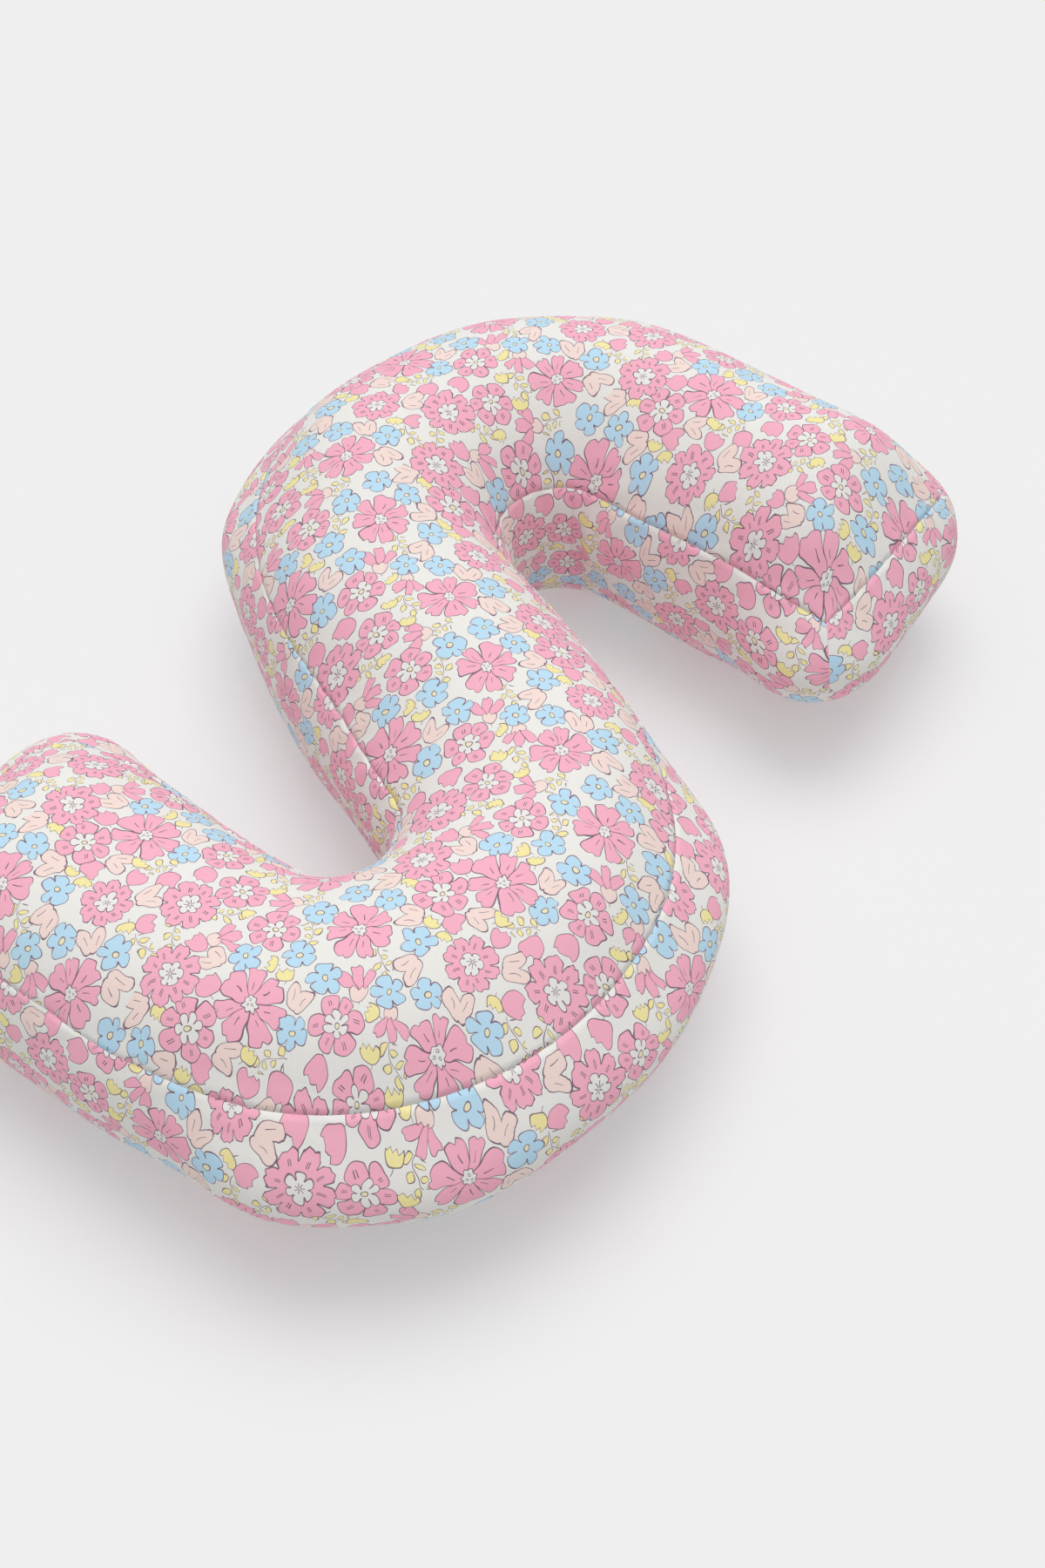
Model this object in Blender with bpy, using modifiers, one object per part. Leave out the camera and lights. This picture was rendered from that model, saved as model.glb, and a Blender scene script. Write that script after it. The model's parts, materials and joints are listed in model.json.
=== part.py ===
"""S-shaped nursing pillow: a zipped cotton cover over a fibre-filled inner pillow.

Metres, +Z up. The pillow lies flat on z = 0 with its point of symmetry over the origin. The short
straight bar of the S runs along Y, each end turns into a bend, and each bend runs out into an arm, so
that the longest side lies along X. The second half is the first turned by 180 degrees about Z.

Every soft layer is the same form at its own depth below the cover's outer surface: cover, inner liner
and filling nest inside each other. The zip follows the outer wall of the bend on the +X side, which is
a surface of revolution about a vertical axis through the bend's centre, so its slider turns about it.
"""

import math

import bmesh
import bpy
from mathutils import Matrix, Vector

# Plan of the top seam
BAR_HALF = 0.058
BEND_RADIUS = 0.0965
BEND_ANGLE = math.radians(156.5)
ARM_LENGTH = 0.146
HALF_WIDTH = 0.067
CORNER_RADIUS = 0.025
HALF_LENGTH = BAR_HALF + BEND_RADIUS * BEND_ANGLE + ARM_LENGTH
BEND_CENTRE = Vector((BEND_RADIUS, BAR_HALF, 0.0))

# Heights
HEIGHT = 0.135
SEAM_HIGH = 0.092
SEAM_LOW = 0.028
SEAM_MID = (SEAM_HIGH + SEAM_LOW) / 2
END_REACH = 0.065
FLAT_SHARE = 0.58
CROWN_POWER = 0.75
LIFT_POWER = 1.5

# How far the wall swells beyond the seams at mid height
SWELL_OUTER = 0.024
SWELL_STRAIGHT = 0.012
SWELL_NOTCH = 0.004
SWELL_TURN_IN = math.radians(24.0)
SWELL_TURN_OUT = math.radians(16.5)
SWELL_POWER = 0.75

# Layers, as depths below the cover's outer surface
COVER_THICKNESS = 0.0010
TAPE_DEPTH = 0.0027
TAPE_THICKNESS = 0.0006
LINER_DEPTH = 0.0052
LINER_THICKNESS = 0.0008
FILLING_DEPTH = 0.0090
LABEL_DEPTH = -0.0010
LABEL_THICKNESS = 0.0004

# Gaps where sewn edges meet
EDGE_GAP = 0.0009
WALL_GAP = 0.0007

# Mesh divisions
LENGTH_CELLS = 44
COVER_CELLS = 8
LINER_CELLS = 6
WALL_CELL = 0.022
END_PULL = 0.2

# Zip, by angle round the bend from the bar's side
ZIP_START = math.radians(50.0)
ZIP_END = math.radians(140.0)
TAPE_INSET = math.radians(0.5)
SLIDER_REST = math.radians(55.0)
TOP_STOP_ANGLE = math.radians(52.5)
BOTTOM_STOP_ANGLE = math.radians(137.3)
COIL_START = math.radians(55.4)
COIL_END = math.radians(136.3)
ZIP_STEP = math.radians(2.5)
ZIP_OPENING = 0.0052
TAPE_EDGE = 0.0008
TAPE_WIDTH = 0.0125
COIL_RADIUS = 0.0011
COIL_OFFSET = 0.0020
COIL_DEPTH = 0.0013
LABEL_WIDTH = 0.020
LABEL_HEIGHT = 0.030
NOTCH_JOIN = BAR_HALF + BEND_RADIUS * math.radians(130.0)

# Zip slider: X points out of the wall, Y back along the zip, Z across it
WALL_RADIUS = BEND_RADIUS + HALF_WIDTH + SWELL_OUTER
PLATE_LENGTH = 0.0115
PLATE_WIDTH = 0.0088
PLATE_THICKNESS = 0.0008
PLATE_OUT = 0.0005
PLATE_IN = -0.0047
FLANGE_WIDTH = 0.0008
FLANGE_FOOT = -0.0023
WEB_LENGTH = 0.0036
WEB_WIDTH = 0.0006
CAP_LENGTH = 0.0072
CAP_WIDTH = 0.0034
CAP_FOOT = 0.0012
CAP_TOP = 0.0040
CAP_SLOT_LENGTH = 0.0048
CAP_SLOT_TOP = 0.0032
PULL_AXIS = 0.0022
PULL_PIN_RADIUS = 0.0006
PULL_THICKNESS = 0.0010
PULL_WIDTH = 0.0070
PULL_ARM_WIDTH = 0.0010
PULL_ARM_LENGTH = 0.0052
PULL_LENGTH = 0.0240
PULL_HOLE = 0.0016
STOP_LENGTH = 0.0024
STOP_WIDTH = 0.0024
STOP_HEIGHT = 0.0022
BOTTOM_STOP_WIDTH = 0.0072

COTTON = ("floral_cotton", (0.90, 0.72, 0.76), 0.85, 0.0)
LINING = ("white_lining", (0.90, 0.90, 0.88), 0.90, 0.0)
FIBRE = ("polyester_fibre", (0.93, 0.93, 0.92), 0.95, 0.0)
TAPE = ("zip_tape_weave", (0.93, 0.90, 0.90), 0.85, 0.0)
NYLON = ("zip_nylon", (0.94, 0.92, 0.92), 0.45, 0.0)
ENAMEL = ("zip_enamel", (0.92, 0.90, 0.90), 0.30, 0.2)
SATIN = ("label_satin", (0.95, 0.95, 0.94), 0.55, 0.0)


def clear_scene():
    """Remove whatever the file opened with."""
    for old in list(bpy.data.objects):
        bpy.data.objects.remove(old, do_unlink=True)


def make_collection(name):
    """A new collection in the scene."""
    collection = bpy.data.collections.new(name)
    bpy.context.scene.collection.children.link(collection)
    return collection


def make_material(finish, node):
    """A Principled material for one node, from a finish's colour, roughness and metallic value."""
    name, colour, roughness, metallic = finish
    material = bpy.data.materials.new(f"{node}_{name}")
    material.use_nodes = True
    shader = material.node_tree.nodes["Principled BSDF"]
    shader.inputs["Base Color"].default_value = (*colour, 1.0)
    shader.inputs["Roughness"].default_value = roughness
    shader.inputs["Metallic"].default_value = metallic
    material.diffuse_color = (*colour, 1.0)
    return material


def add_object(name, mesh, finish, collection):
    """An object with its own material in the pillow's collection."""
    node = bpy.data.objects.new(name, mesh)
    collection.objects.link(node)
    mesh.materials.append(make_material(finish, name))
    return node


# ---- the pillow's form ----

def centreline(s):
    """Point and heading of the S's centreline at distance s from the middle, positive towards +Y."""
    if s < 0.0:
        point, heading = centreline(-s)
        return -point, heading
    bend = BEND_RADIUS * BEND_ANGLE
    if s <= BAR_HALF:
        return Vector((0.0, s, 0.0)), math.pi / 2
    turned = min(s - BAR_HALF, bend) / BEND_RADIUS
    spoke = math.pi - turned
    point = BEND_CENTRE + BEND_RADIUS * Vector((math.cos(spoke), math.sin(spoke), 0.0))
    heading = math.pi / 2 - turned
    beyond = max(s - BAR_HALF - bend, 0.0)
    return point + beyond * Vector((math.cos(heading), math.sin(heading), 0.0)), heading


def end_share(u):
    """0 away from an arm's end, rising to 1 at the end."""
    return max(0.0, 1.0 - HALF_LENGTH * (1.0 - abs(u)) / END_REACH)


def plan_point(u, v, inset):
    """Plan of the form: u runs along the S and v across it, both -1 to 1, drawn in by inset."""
    s = HALF_LENGTH * abs(u) - inset * end_share(u)
    t = (HALF_WIDTH - inset) * abs(v)
    corner = CORNER_RADIUS - min(inset, 0.0)
    past = max(corner - (HALF_LENGTH - inset - s), 0.0)
    side = max(corner - (HALF_WIDTH - inset - t), 0.0)
    squash = max(past, side) / math.hypot(past, side) if past and side else 1.0
    s = math.copysign(s - past * (1.0 - squash), u)
    t = math.copysign(t - side * (1.0 - squash), v)
    point, heading = centreline(s)
    return point + t * Vector((-math.sin(heading), math.cos(heading), 0.0))


def smooth(x):
    """Smooth step from 0 to 1."""
    x = min(max(x, 0.0), 1.0)
    return x * x * (3.0 - 2.0 * x)


def swell_at(u, v):
    """How far the wall at this place of the outline swells at mid height."""
    turned = (abs(u) * HALF_LENGTH - BAR_HALF) / BEND_RADIUS
    bent = smooth(turned / SWELL_TURN_IN) * smooth((BEND_ANGLE - turned) / SWELL_TURN_OUT)
    across = 0.5 + 0.5 * v * math.copysign(1.0, u)
    in_bend = SWELL_NOTCH + (SWELL_OUTER - SWELL_NOTCH) * smooth(across)
    return SWELL_STRAIGHT + (in_bend - SWELL_STRAIGHT) * bent


def edge_share(u, v):
    """0 over the middle of the S and 1 at its outline."""
    return min((abs(v) ** 4 + end_share(u) ** 4) ** 0.25, 1.0)


def form_point(u, v, level, depth):
    """A point of the form at a depth; level runs from -1, the lower seam, to 1, the upper seam."""
    if abs(u) < 1.0 and abs(v) < 1.0:
        share = edge_share(u, v)
        point = plan_point(u, v, depth)
        if level > 0.0:
            crown = (HEIGHT - SEAM_HIGH) * (1.0 - share ** 2) ** CROWN_POWER
            point.z = SEAM_HIGH + crown - depth * (0.5 + 0.5 * (1.0 - share))
        else:
            lift = max(0.0, share - FLAT_SHARE) / (1.0 - FLAT_SHARE)
            point.z = SEAM_LOW * lift ** LIFT_POWER + depth * (0.5 + 0.5 * (1.0 - lift))
        return point
    swell = swell_at(u, v) * max(math.cos(math.pi / 2 * level), 0.0) ** SWELL_POWER
    point = plan_point(u, v, depth - swell)
    point.z = SEAM_MID + level * ((SEAM_HIGH - SEAM_LOW) / 2 - 0.5 * depth)
    return point


def even_out(x):
    """Cell positions drawn closer together towards both ends of -1 to 1."""
    return (1.0 + END_PULL) * x - END_PULL * x ** 3


# ---- outline of the wall ----

SIDE_RUN = 2.0 * HALF_LENGTH
END_RUN = 2.0 * HALF_WIDTH


def outline_at(run):
    """u and v on the outline at a run: down the +X side, round the lower arm's end, and back up."""
    run = run % (2.0 * (SIDE_RUN + END_RUN))
    if run < SIDE_RUN:
        return 1.0 - run / HALF_LENGTH, -1.0
    if run < SIDE_RUN + END_RUN:
        return -1.0, (run - SIDE_RUN) / HALF_WIDTH - 1.0
    if run < 2.0 * SIDE_RUN + END_RUN:
        return (run - SIDE_RUN - END_RUN) / HALF_LENGTH - 1.0, 1.0
    return 1.0, 1.0 - (run - 2.0 * SIDE_RUN - END_RUN) / HALF_WIDTH


def run_of(s, side):
    """The run at centreline distance s, on the side where v is +1 or -1."""
    if side < 0:
        return HALF_LENGTH - s
    return SIDE_RUN + END_RUN + HALF_LENGTH + s


def zip_run(angle):
    """The run at an angle round the outer wall of the zipped bend."""
    return run_of(BAR_HALF + BEND_RADIUS * angle, 1)


def shell(name, mesh, thickness, finish, collection):
    """Give an open outer surface its thickness, inwards."""
    node = add_object(name, mesh, finish, collection)
    solid = node.modifiers.new("thickness", "SOLIDIFY")
    solid.thickness = thickness
    solid.offset = -1.0
    solid.use_even_offset = True
    solid.use_quality_normals = True
    mesh.shade_smooth()
    return node


def panel(name, top, depth, cells, thickness, finish, collection):
    """The top or bottom panel of a layer."""
    bm = bmesh.new()
    bmesh.ops.create_grid(bm, x_segments=LENGTH_CELLS, y_segments=cells, size=1.0)
    short = (1.0 - EDGE_GAP / HALF_LENGTH, 1.0 - EDGE_GAP / HALF_WIDTH)
    for vert in bm.verts:
        u = even_out(vert.co.x) * short[0]
        v = even_out(vert.co.y) * short[1]
        vert.co = form_point(u, v, 1.0 if top else -1.0, depth)
    if not top:
        bmesh.ops.reverse_faces(bm, faces=bm.faces)
    mesh = bpy.data.meshes.new(name)
    bm.to_mesh(mesh)
    bm.free()
    return shell(name, mesh, thickness, finish, collection)


def wall(name, runs, heights, cells, depth, thickness, finish, collection):
    """A strip of the wall between two runs and two heights; cells are its divisions."""
    bm = bmesh.new()
    bmesh.ops.create_grid(bm, x_segments=cells[0], y_segments=cells[1], size=1.0)
    start = runs[0] + WALL_GAP
    stop = runs[1] - WALL_GAP
    half = (SEAM_HIGH - SEAM_LOW) / 2
    low = max((heights[0] - SEAM_MID) / half, -1.0 + EDGE_GAP / half)
    high = min((heights[1] - SEAM_MID) / half, 1.0 - EDGE_GAP / half)
    for vert in bm.verts:
        u, v = outline_at(start + (stop - start) * (vert.co.x + 1.0) / 2)
        level = low + (high - low) * (vert.co.y + 1.0) / 2
        vert.co = form_point(u, v, level, depth)
    bmesh.ops.reverse_faces(bm, faces=bm.faces)
    mesh = bpy.data.meshes.new(name)
    bm.to_mesh(mesh)
    bm.free()
    return shell(name, mesh, thickness, finish, collection)


def plain_cells(runs, rows):
    """Divisions of a wall strip away from the zip."""
    return round((runs[1] - runs[0]) / WALL_CELL), rows


# ---- cover, liner and filling ----

UPPER_NOTCH = run_of(NOTCH_JOIN, -1)
LOWER_NOTCH = run_of(-NOTCH_JOIN, 1)
FULL_WALL = (SEAM_LOW, SEAM_HIGH)
WHOLE_RUN = 2.0 * (SIDE_RUN + END_RUN)


def build_cover(collection):
    """The removable cover: two panels, and a wall of strips joined in the notches and at the zip."""
    for name, top in (("cover_top_panel", True), ("cover_bottom_panel", False)):
        panel(name, top, 0.0, COVER_CELLS, COVER_THICKNESS, COTTON, collection)
    strips = {
        "cover_wall_front_strip": (UPPER_NOTCH, LOWER_NOTCH),
        "cover_wall_bar_strip": (LOWER_NOTCH, zip_run(ZIP_START)),
        "cover_wall_arm_strip": (zip_run(ZIP_END), WHOLE_RUN + UPPER_NOTCH),
    }
    for name, runs in strips.items():
        wall(name, runs, FULL_WALL, plain_cells(runs, 4), 0.0, COVER_THICKNESS, COTTON, collection)
    runs = (zip_run(ZIP_START), zip_run(ZIP_END))
    cells = (round((ZIP_END - ZIP_START) / ZIP_STEP), 2)
    low = (SEAM_LOW, SEAM_MID - ZIP_OPENING)
    high = (SEAM_MID + ZIP_OPENING, SEAM_HIGH)
    wall("cover_wall_zip_lower_strip", runs, low, cells, 0.0, COVER_THICKNESS, COTTON, collection)
    wall("cover_wall_zip_upper_strip", runs, high, cells, 0.0, COVER_THICKNESS, COTTON, collection)


def build_label(collection):
    """A blank care label, caught in the seam at the zip's lower end and lying on the wall."""
    start = zip_run(ZIP_END)
    runs = (start, start + LABEL_WIDTH * BEND_RADIUS / WALL_RADIUS)
    heights = (SEAM_MID - LABEL_HEIGHT / 2, SEAM_MID + LABEL_HEIGHT / 2)
    wall("care_label", runs, heights, (4, 4), LABEL_DEPTH, LABEL_THICKNESS, SATIN, collection)


def build_inner_pillow(collection):
    """The white inner pillow: two panels and two wall strips round the fibre."""
    for name, top in (("liner_top_panel", True), ("liner_bottom_panel", False)):
        panel(name, top, LINER_DEPTH, LINER_CELLS, LINER_THICKNESS, LINING, collection)
    strips = {
        "liner_wall_front_strip": (UPPER_NOTCH, LOWER_NOTCH),
        "liner_wall_back_strip": (LOWER_NOTCH, WHOLE_RUN + UPPER_NOTCH),
    }
    for name, runs in strips.items():
        wall(name, runs, FULL_WALL, plain_cells(runs, 3), LINER_DEPTH, LINER_THICKNESS, LINING,
             collection)


def build_filling(collection):
    """The fibre filling, one closed body."""
    bm = bmesh.new()
    bmesh.ops.create_cube(bm, size=2.0)
    for axis, cells in ((0, LENGTH_CELLS), (1, LINER_CELLS), (2, 3)):
        along = [e for e in bm.edges if abs(e.verts[0].co[axis] - e.verts[1].co[axis]) > 1.0]
        bmesh.ops.subdivide_edges(bm, edges=along, cuts=cells - 1, use_grid_fill=True)
    for vert in bm.verts:
        u, v, level = vert.co
        vert.co = form_point(even_out(u), even_out(v), level, FILLING_DEPTH)
    bmesh.ops.recalc_face_normals(bm, faces=bm.faces)
    mesh = bpy.data.meshes.new("fibre_filling")
    bm.to_mesh(mesh)
    bm.free()
    mesh.shade_smooth()
    add_object("fibre_filling", mesh, FIBRE, collection)


# ---- zip ----

def zip_place(angle, out, height):
    """A point on the zipped wall: angle round the bend, distance out of the wall, and height."""
    spoke = math.pi - angle
    point = BEND_CENTRE + (WALL_RADIUS + out) * Vector((math.cos(spoke), math.sin(spoke), 0.0))
    point.z = SEAM_MID + height
    return point


def build_tapes(collection):
    """The two woven tapes behind the opening's edges."""
    runs = (zip_run(ZIP_START + TAPE_INSET), zip_run(ZIP_END - TAPE_INSET))
    cells = (round((ZIP_END - ZIP_START) / ZIP_STEP), 2)
    heights = {
        "zip_tape_lower": (SEAM_MID - TAPE_WIDTH, SEAM_MID - TAPE_EDGE),
        "zip_tape_upper": (SEAM_MID + TAPE_EDGE, SEAM_MID + TAPE_WIDTH),
    }
    for name, span in heights.items():
        wall(name, runs, span, cells, TAPE_DEPTH, TAPE_THICKNESS, TAPE, collection)


def build_coil(name, height, collection):
    """One row of the coil, as a bead along the tape's edge."""
    curve = bpy.data.curves.new(name, "CURVE")
    curve.dimensions = "3D"
    curve.bevel_depth = COIL_RADIUS
    curve.bevel_resolution = 2
    curve.use_fill_caps = True
    steps = round((COIL_END - COIL_START) / ZIP_STEP)
    spline = curve.splines.new("POLY")
    spline.points.add(steps)
    for i, point in enumerate(spline.points):
        angle = COIL_START + (COIL_END - COIL_START) * i / steps
        point.co = (*zip_place(angle, -COIL_DEPTH, height), 1.0)
    add_object(name, curve, NYLON, collection)


def bevelled_box(name, size, finish, collection, bevel=0.0003):
    """A box with softened edges, centred on its origin."""
    bm = bmesh.new()
    bmesh.ops.create_cube(bm, size=1.0)
    bmesh.ops.scale(bm, vec=size, verts=bm.verts)
    mesh = bpy.data.meshes.new(name)
    bm.to_mesh(mesh)
    bm.free()
    node = add_object(name, mesh, finish, collection)
    edge = node.modifiers.new("edges", "BEVEL")
    edge.width = bevel
    edge.segments = 1
    return node


def build_stops(collection):
    """The stops that end the zip: one on each row at the top and one across both at the bottom."""
    places = {
        "zip_top_stop_lower": (TOP_STOP_ANGLE, -COIL_OFFSET, STOP_WIDTH),
        "zip_top_stop_upper": (TOP_STOP_ANGLE, COIL_OFFSET, STOP_WIDTH),
        "zip_bottom_stop": (BOTTOM_STOP_ANGLE, 0.0, BOTTOM_STOP_WIDTH),
    }
    for name, (angle, height, width) in places.items():
        node = bevelled_box(name, (STOP_HEIGHT, STOP_LENGTH, width), NYLON, collection)
        node.location = zip_place(angle, -COIL_DEPTH, height)
        node.rotation_euler.z = math.pi - angle


def add_box(bm, low, high):
    """Add a box between two corners."""
    low, high = Vector(low), Vector(high)
    made = bmesh.ops.create_cube(bm, size=1.0)
    bmesh.ops.scale(bm, vec=high - low, verts=made["verts"])
    bmesh.ops.translate(bm, vec=(low + high) / 2, verts=made["verts"])


def box_mesh(name, low, high):
    """A mesh of one box between two corners."""
    bm = bmesh.new()
    add_box(bm, low, high)
    mesh = bpy.data.meshes.new(name)
    bm.to_mesh(mesh)
    bm.free()
    return mesh


def add_cutter(node, mesh, operation, cutters):
    """Join or cut a node with a hidden mesh that shares its parent and place."""
    tool = bpy.data.objects.new(mesh.name, mesh)
    cutters.objects.link(tool)
    tool.parent = node.parent
    tool.location = node.location
    tool.hide_render = True
    tool.display_type = "WIRE"
    cut = node.modifiers.new(mesh.name, "BOOLEAN")
    cut.operation = operation
    cut.object = tool


def add_axis(name, place, spin, parent=None):
    """An empty on a joint's axis."""
    axis = bpy.data.objects.new(name, None)
    bpy.context.scene.collection.objects.link(axis)
    axis.empty_display_size = 0.01
    axis.location = place
    axis.rotation_euler.z = spin
    axis.parent = parent
    return axis


def build_slider_body(axis, collection, cutters):
    """Outer plate with its two flanges, inner plate, and the web that joins the plates."""
    half_length = PLATE_LENGTH / 2
    half_width = PLATE_WIDTH / 2
    thick = PLATE_THICKNESS / 2
    mesh = box_mesh("zip_slider_body", (PLATE_OUT - thick, -half_length, -half_width),
                    (PLATE_OUT + thick, half_length, half_width))
    node = add_object("zip_slider_body", mesh, ENAMEL, collection)
    node.parent = axis
    node.location.x = WALL_RADIUS
    for side in (-1, 1):
        edges = sorted((side * (half_width - FLANGE_WIDTH), side * half_width))
        flange = box_mesh("slider_flange", (FLANGE_FOOT, -half_length, edges[0]),
                          (PLATE_OUT, half_length, edges[1]))
        add_cutter(node, flange, "UNION", cutters)
    web = box_mesh("slider_web", (PLATE_IN, half_length - WEB_LENGTH, -WEB_WIDTH / 2),
                   (PLATE_OUT, half_length, WEB_WIDTH / 2))
    add_cutter(node, web, "UNION", cutters)
    inner = box_mesh("slider_inner_plate", (PLATE_IN - thick, -half_length, -half_width),
                     (PLATE_IN + thick, half_length, half_width))
    add_cutter(node, inner, "UNION", cutters)


def build_slider_cap(axis, collection, cutters):
    """The bridge over the pull tab's pin."""
    mesh = box_mesh("zip_slider_cap", (CAP_FOOT, -CAP_LENGTH / 2, -CAP_WIDTH / 2),
                    (CAP_TOP, CAP_LENGTH / 2, CAP_WIDTH / 2))
    node = add_object("zip_slider_cap", mesh, ENAMEL, collection)
    node.parent = axis
    node.location.x = WALL_RADIUS
    edge = node.modifiers.new("edges", "BEVEL")
    edge.width = 0.0004
    edge.segments = 2
    slot = box_mesh("cap_slot", (0.0, -CAP_SLOT_LENGTH / 2, -CAP_WIDTH),
                    (CAP_SLOT_TOP, CAP_SLOT_LENGTH / 2, CAP_WIDTH))
    add_cutter(node, slot, "DIFFERENCE", cutters)


def build_pull_tab(axis, collection, cutters):
    """The pull tab: a pin under the bridge, two arms beside it, and a plate with a hole."""
    half = PULL_THICKNESS / 2
    width = PULL_WIDTH / 2
    mesh = box_mesh("zip_pull_tab", (-half, -PULL_LENGTH, -width), (half, -PULL_ARM_LENGTH, width))
    node = add_object("zip_pull_tab", mesh, ENAMEL, collection)
    node.parent = axis
    for side in (-1, 1):
        edges = sorted((side * (width - PULL_ARM_WIDTH), side * width))
        arm = box_mesh("pull_arm", (-half, -PULL_ARM_LENGTH - half, edges[0]), (half, 0.0, edges[1]))
        add_cutter(node, arm, "UNION", cutters)
    bm = bmesh.new()
    bmesh.ops.create_cone(bm, cap_ends=True, segments=12, radius1=PULL_PIN_RADIUS,
                          radius2=PULL_PIN_RADIUS, depth=PULL_WIDTH)
    pin = bpy.data.meshes.new("pull_pin")
    bm.to_mesh(pin)
    bm.free()
    add_cutter(node, pin, "UNION", cutters)
    bm = bmesh.new()
    place = Matrix.Translation((0.0, PULL_HOLE + PULL_THICKNESS - PULL_LENGTH, 0.0))
    bmesh.ops.create_cone(bm, cap_ends=True, segments=16, radius1=PULL_HOLE, radius2=PULL_HOLE,
                          depth=PULL_WIDTH, matrix=place @ Matrix.Rotation(math.pi / 2, 4, "Y"))
    hole = bpy.data.meshes.new("pull_hole")
    bm.to_mesh(hole)
    bm.free()
    add_cutter(node, hole, "DIFFERENCE", cutters)


def build_zip(collection, cutters):
    """The whole zip; the slider's axis is the bend's centre and the tab's is its pin."""
    build_tapes(collection)
    build_coil("zip_coil_lower", -COIL_OFFSET, collection)
    build_coil("zip_coil_upper", COIL_OFFSET, collection)
    build_stops(collection)
    slide = add_axis("zip_slide_axis", (*BEND_CENTRE.xy, SEAM_MID), math.pi - SLIDER_REST)
    build_slider_body(slide, collection, cutters)
    build_slider_cap(slide, collection, cutters)
    swing = add_axis("pull_tab_axis", (WALL_RADIUS + PULL_AXIS, 0.0, 0.0), 0.0, slide)
    build_pull_tab(swing, collection, cutters)


def main():
    """Build the pillow."""
    clear_scene()
    pillow = make_collection("nursing_pillow")
    cutters = make_collection("cutters")
    build_cover(pillow)
    build_label(pillow)
    build_inner_pillow(pillow)
    build_filling(pillow)
    build_zip(pillow, cutters)


main()
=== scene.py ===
"""Looks of the S-shaped nursing pillow: sewn floral cover, zip, care label and inner pillow.

Metres, +Z up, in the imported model's own frame. The cover is one sewn form that a cloth simulation fills,
then cut into its panels along the seams. Positions follow the frame: the zipped bend's centre and the
middle of the wall come from the zip slider's joint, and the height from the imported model's box.
"""

from __future__ import annotations

import json
import logging
import math
from collections.abc import Iterator
from dataclasses import dataclass, field
from enum import Enum

import bmesh
import bpy
import numpy as np
from mathutils import Matrix, Vector
from mathutils.bvhtree import BVHTree


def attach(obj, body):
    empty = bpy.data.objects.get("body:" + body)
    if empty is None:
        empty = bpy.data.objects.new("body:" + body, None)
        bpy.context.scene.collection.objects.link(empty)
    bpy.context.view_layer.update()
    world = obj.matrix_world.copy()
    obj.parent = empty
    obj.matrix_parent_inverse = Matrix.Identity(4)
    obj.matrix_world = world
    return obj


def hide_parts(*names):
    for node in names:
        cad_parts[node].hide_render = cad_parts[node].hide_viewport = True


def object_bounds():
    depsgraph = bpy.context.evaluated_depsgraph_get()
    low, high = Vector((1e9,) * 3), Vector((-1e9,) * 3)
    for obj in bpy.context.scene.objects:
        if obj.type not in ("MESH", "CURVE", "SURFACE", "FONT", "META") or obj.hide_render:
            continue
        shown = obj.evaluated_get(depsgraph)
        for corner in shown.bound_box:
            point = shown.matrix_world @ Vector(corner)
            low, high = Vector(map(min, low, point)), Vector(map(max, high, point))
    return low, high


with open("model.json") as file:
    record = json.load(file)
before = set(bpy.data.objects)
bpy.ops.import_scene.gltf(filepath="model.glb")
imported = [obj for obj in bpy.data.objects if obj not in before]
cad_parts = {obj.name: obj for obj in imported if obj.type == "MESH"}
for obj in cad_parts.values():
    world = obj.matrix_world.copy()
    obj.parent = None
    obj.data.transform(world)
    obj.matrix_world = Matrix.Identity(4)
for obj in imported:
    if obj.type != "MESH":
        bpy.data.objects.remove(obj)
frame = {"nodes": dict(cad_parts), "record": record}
CAD_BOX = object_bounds()
JOINTS = {joint["name"]: joint for joint in frame["record"]["behaviour"]["joints"]}

LOG = logging.getLogger("nursing_pillow")
MM = 0.001
MOTIF_SCALE = 0.89 * MM
FAR_AWAY = (-9.0, -9.0, 0.0)
OPEN_MOTIFS = ("TULIP", "FAN", "LEAVES", "CROWN", "SPRIG")

Array = np.ndarray
Socket = bpy.types.NodeSocket


class Panel(Enum):
    """The cover's sewn panels, each with its own place in the mesh and its CAD node."""

    TOP = "cover_top_panel"
    BOTTOM = "cover_bottom_panel"
    FRONT = "cover_wall_front_strip"
    BAR = "cover_wall_bar_strip"
    ARM = "cover_wall_arm_strip"
    ZIP_LOWER = "cover_wall_zip_lower_strip"
    ZIP_UPPER = "cover_wall_zip_upper_strip"
    OPENING = "zip_opening"

    @property
    def index(self) -> int:
        """The panel's number in the sewn mesh."""
        return list(Panel).index(self)


# ---- small helpers ----


def smooth(x: Array | float) -> Array:
    """Smooth step from 0 to 1."""
    x = np.clip(x, 0.0, 1.0)
    return x * x * (3.0 - 2.0 * x)


def read_points(mesh: bpy.types.Mesh, name: str = "co") -> Array:
    """Read a vector of each vertex.

    Args:
        mesh: the mesh to read.
        name: co for places or normal for normals.

    Returns:
        One row of three numbers for each vertex.
    """
    values = np.zeros(len(mesh.vertices) * 3, np.float32)
    mesh.vertices.foreach_get(name, values)
    return values.reshape(-1, 3).astype(float)


def write_points(mesh: bpy.types.Mesh, points: Array) -> None:
    """Write each vertex's place.

    Args:
        mesh: the mesh to change.
        points: one row for each vertex.
    """
    mesh.vertices.foreach_set("co", points.astype(np.float32).ravel())
    mesh.update()


def add_piece(name: str, mesh: bpy.types.Mesh) -> bpy.types.Object:
    """Put a mesh in the scene as a piece.

    Args:
        name: the piece's name.
        mesh: its mesh, already in place.

    Returns:
        The new object, at the origin.
    """
    piece = bpy.data.objects.new(name, mesh)
    bpy.context.scene.collection.objects.link(piece)
    return piece


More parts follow.
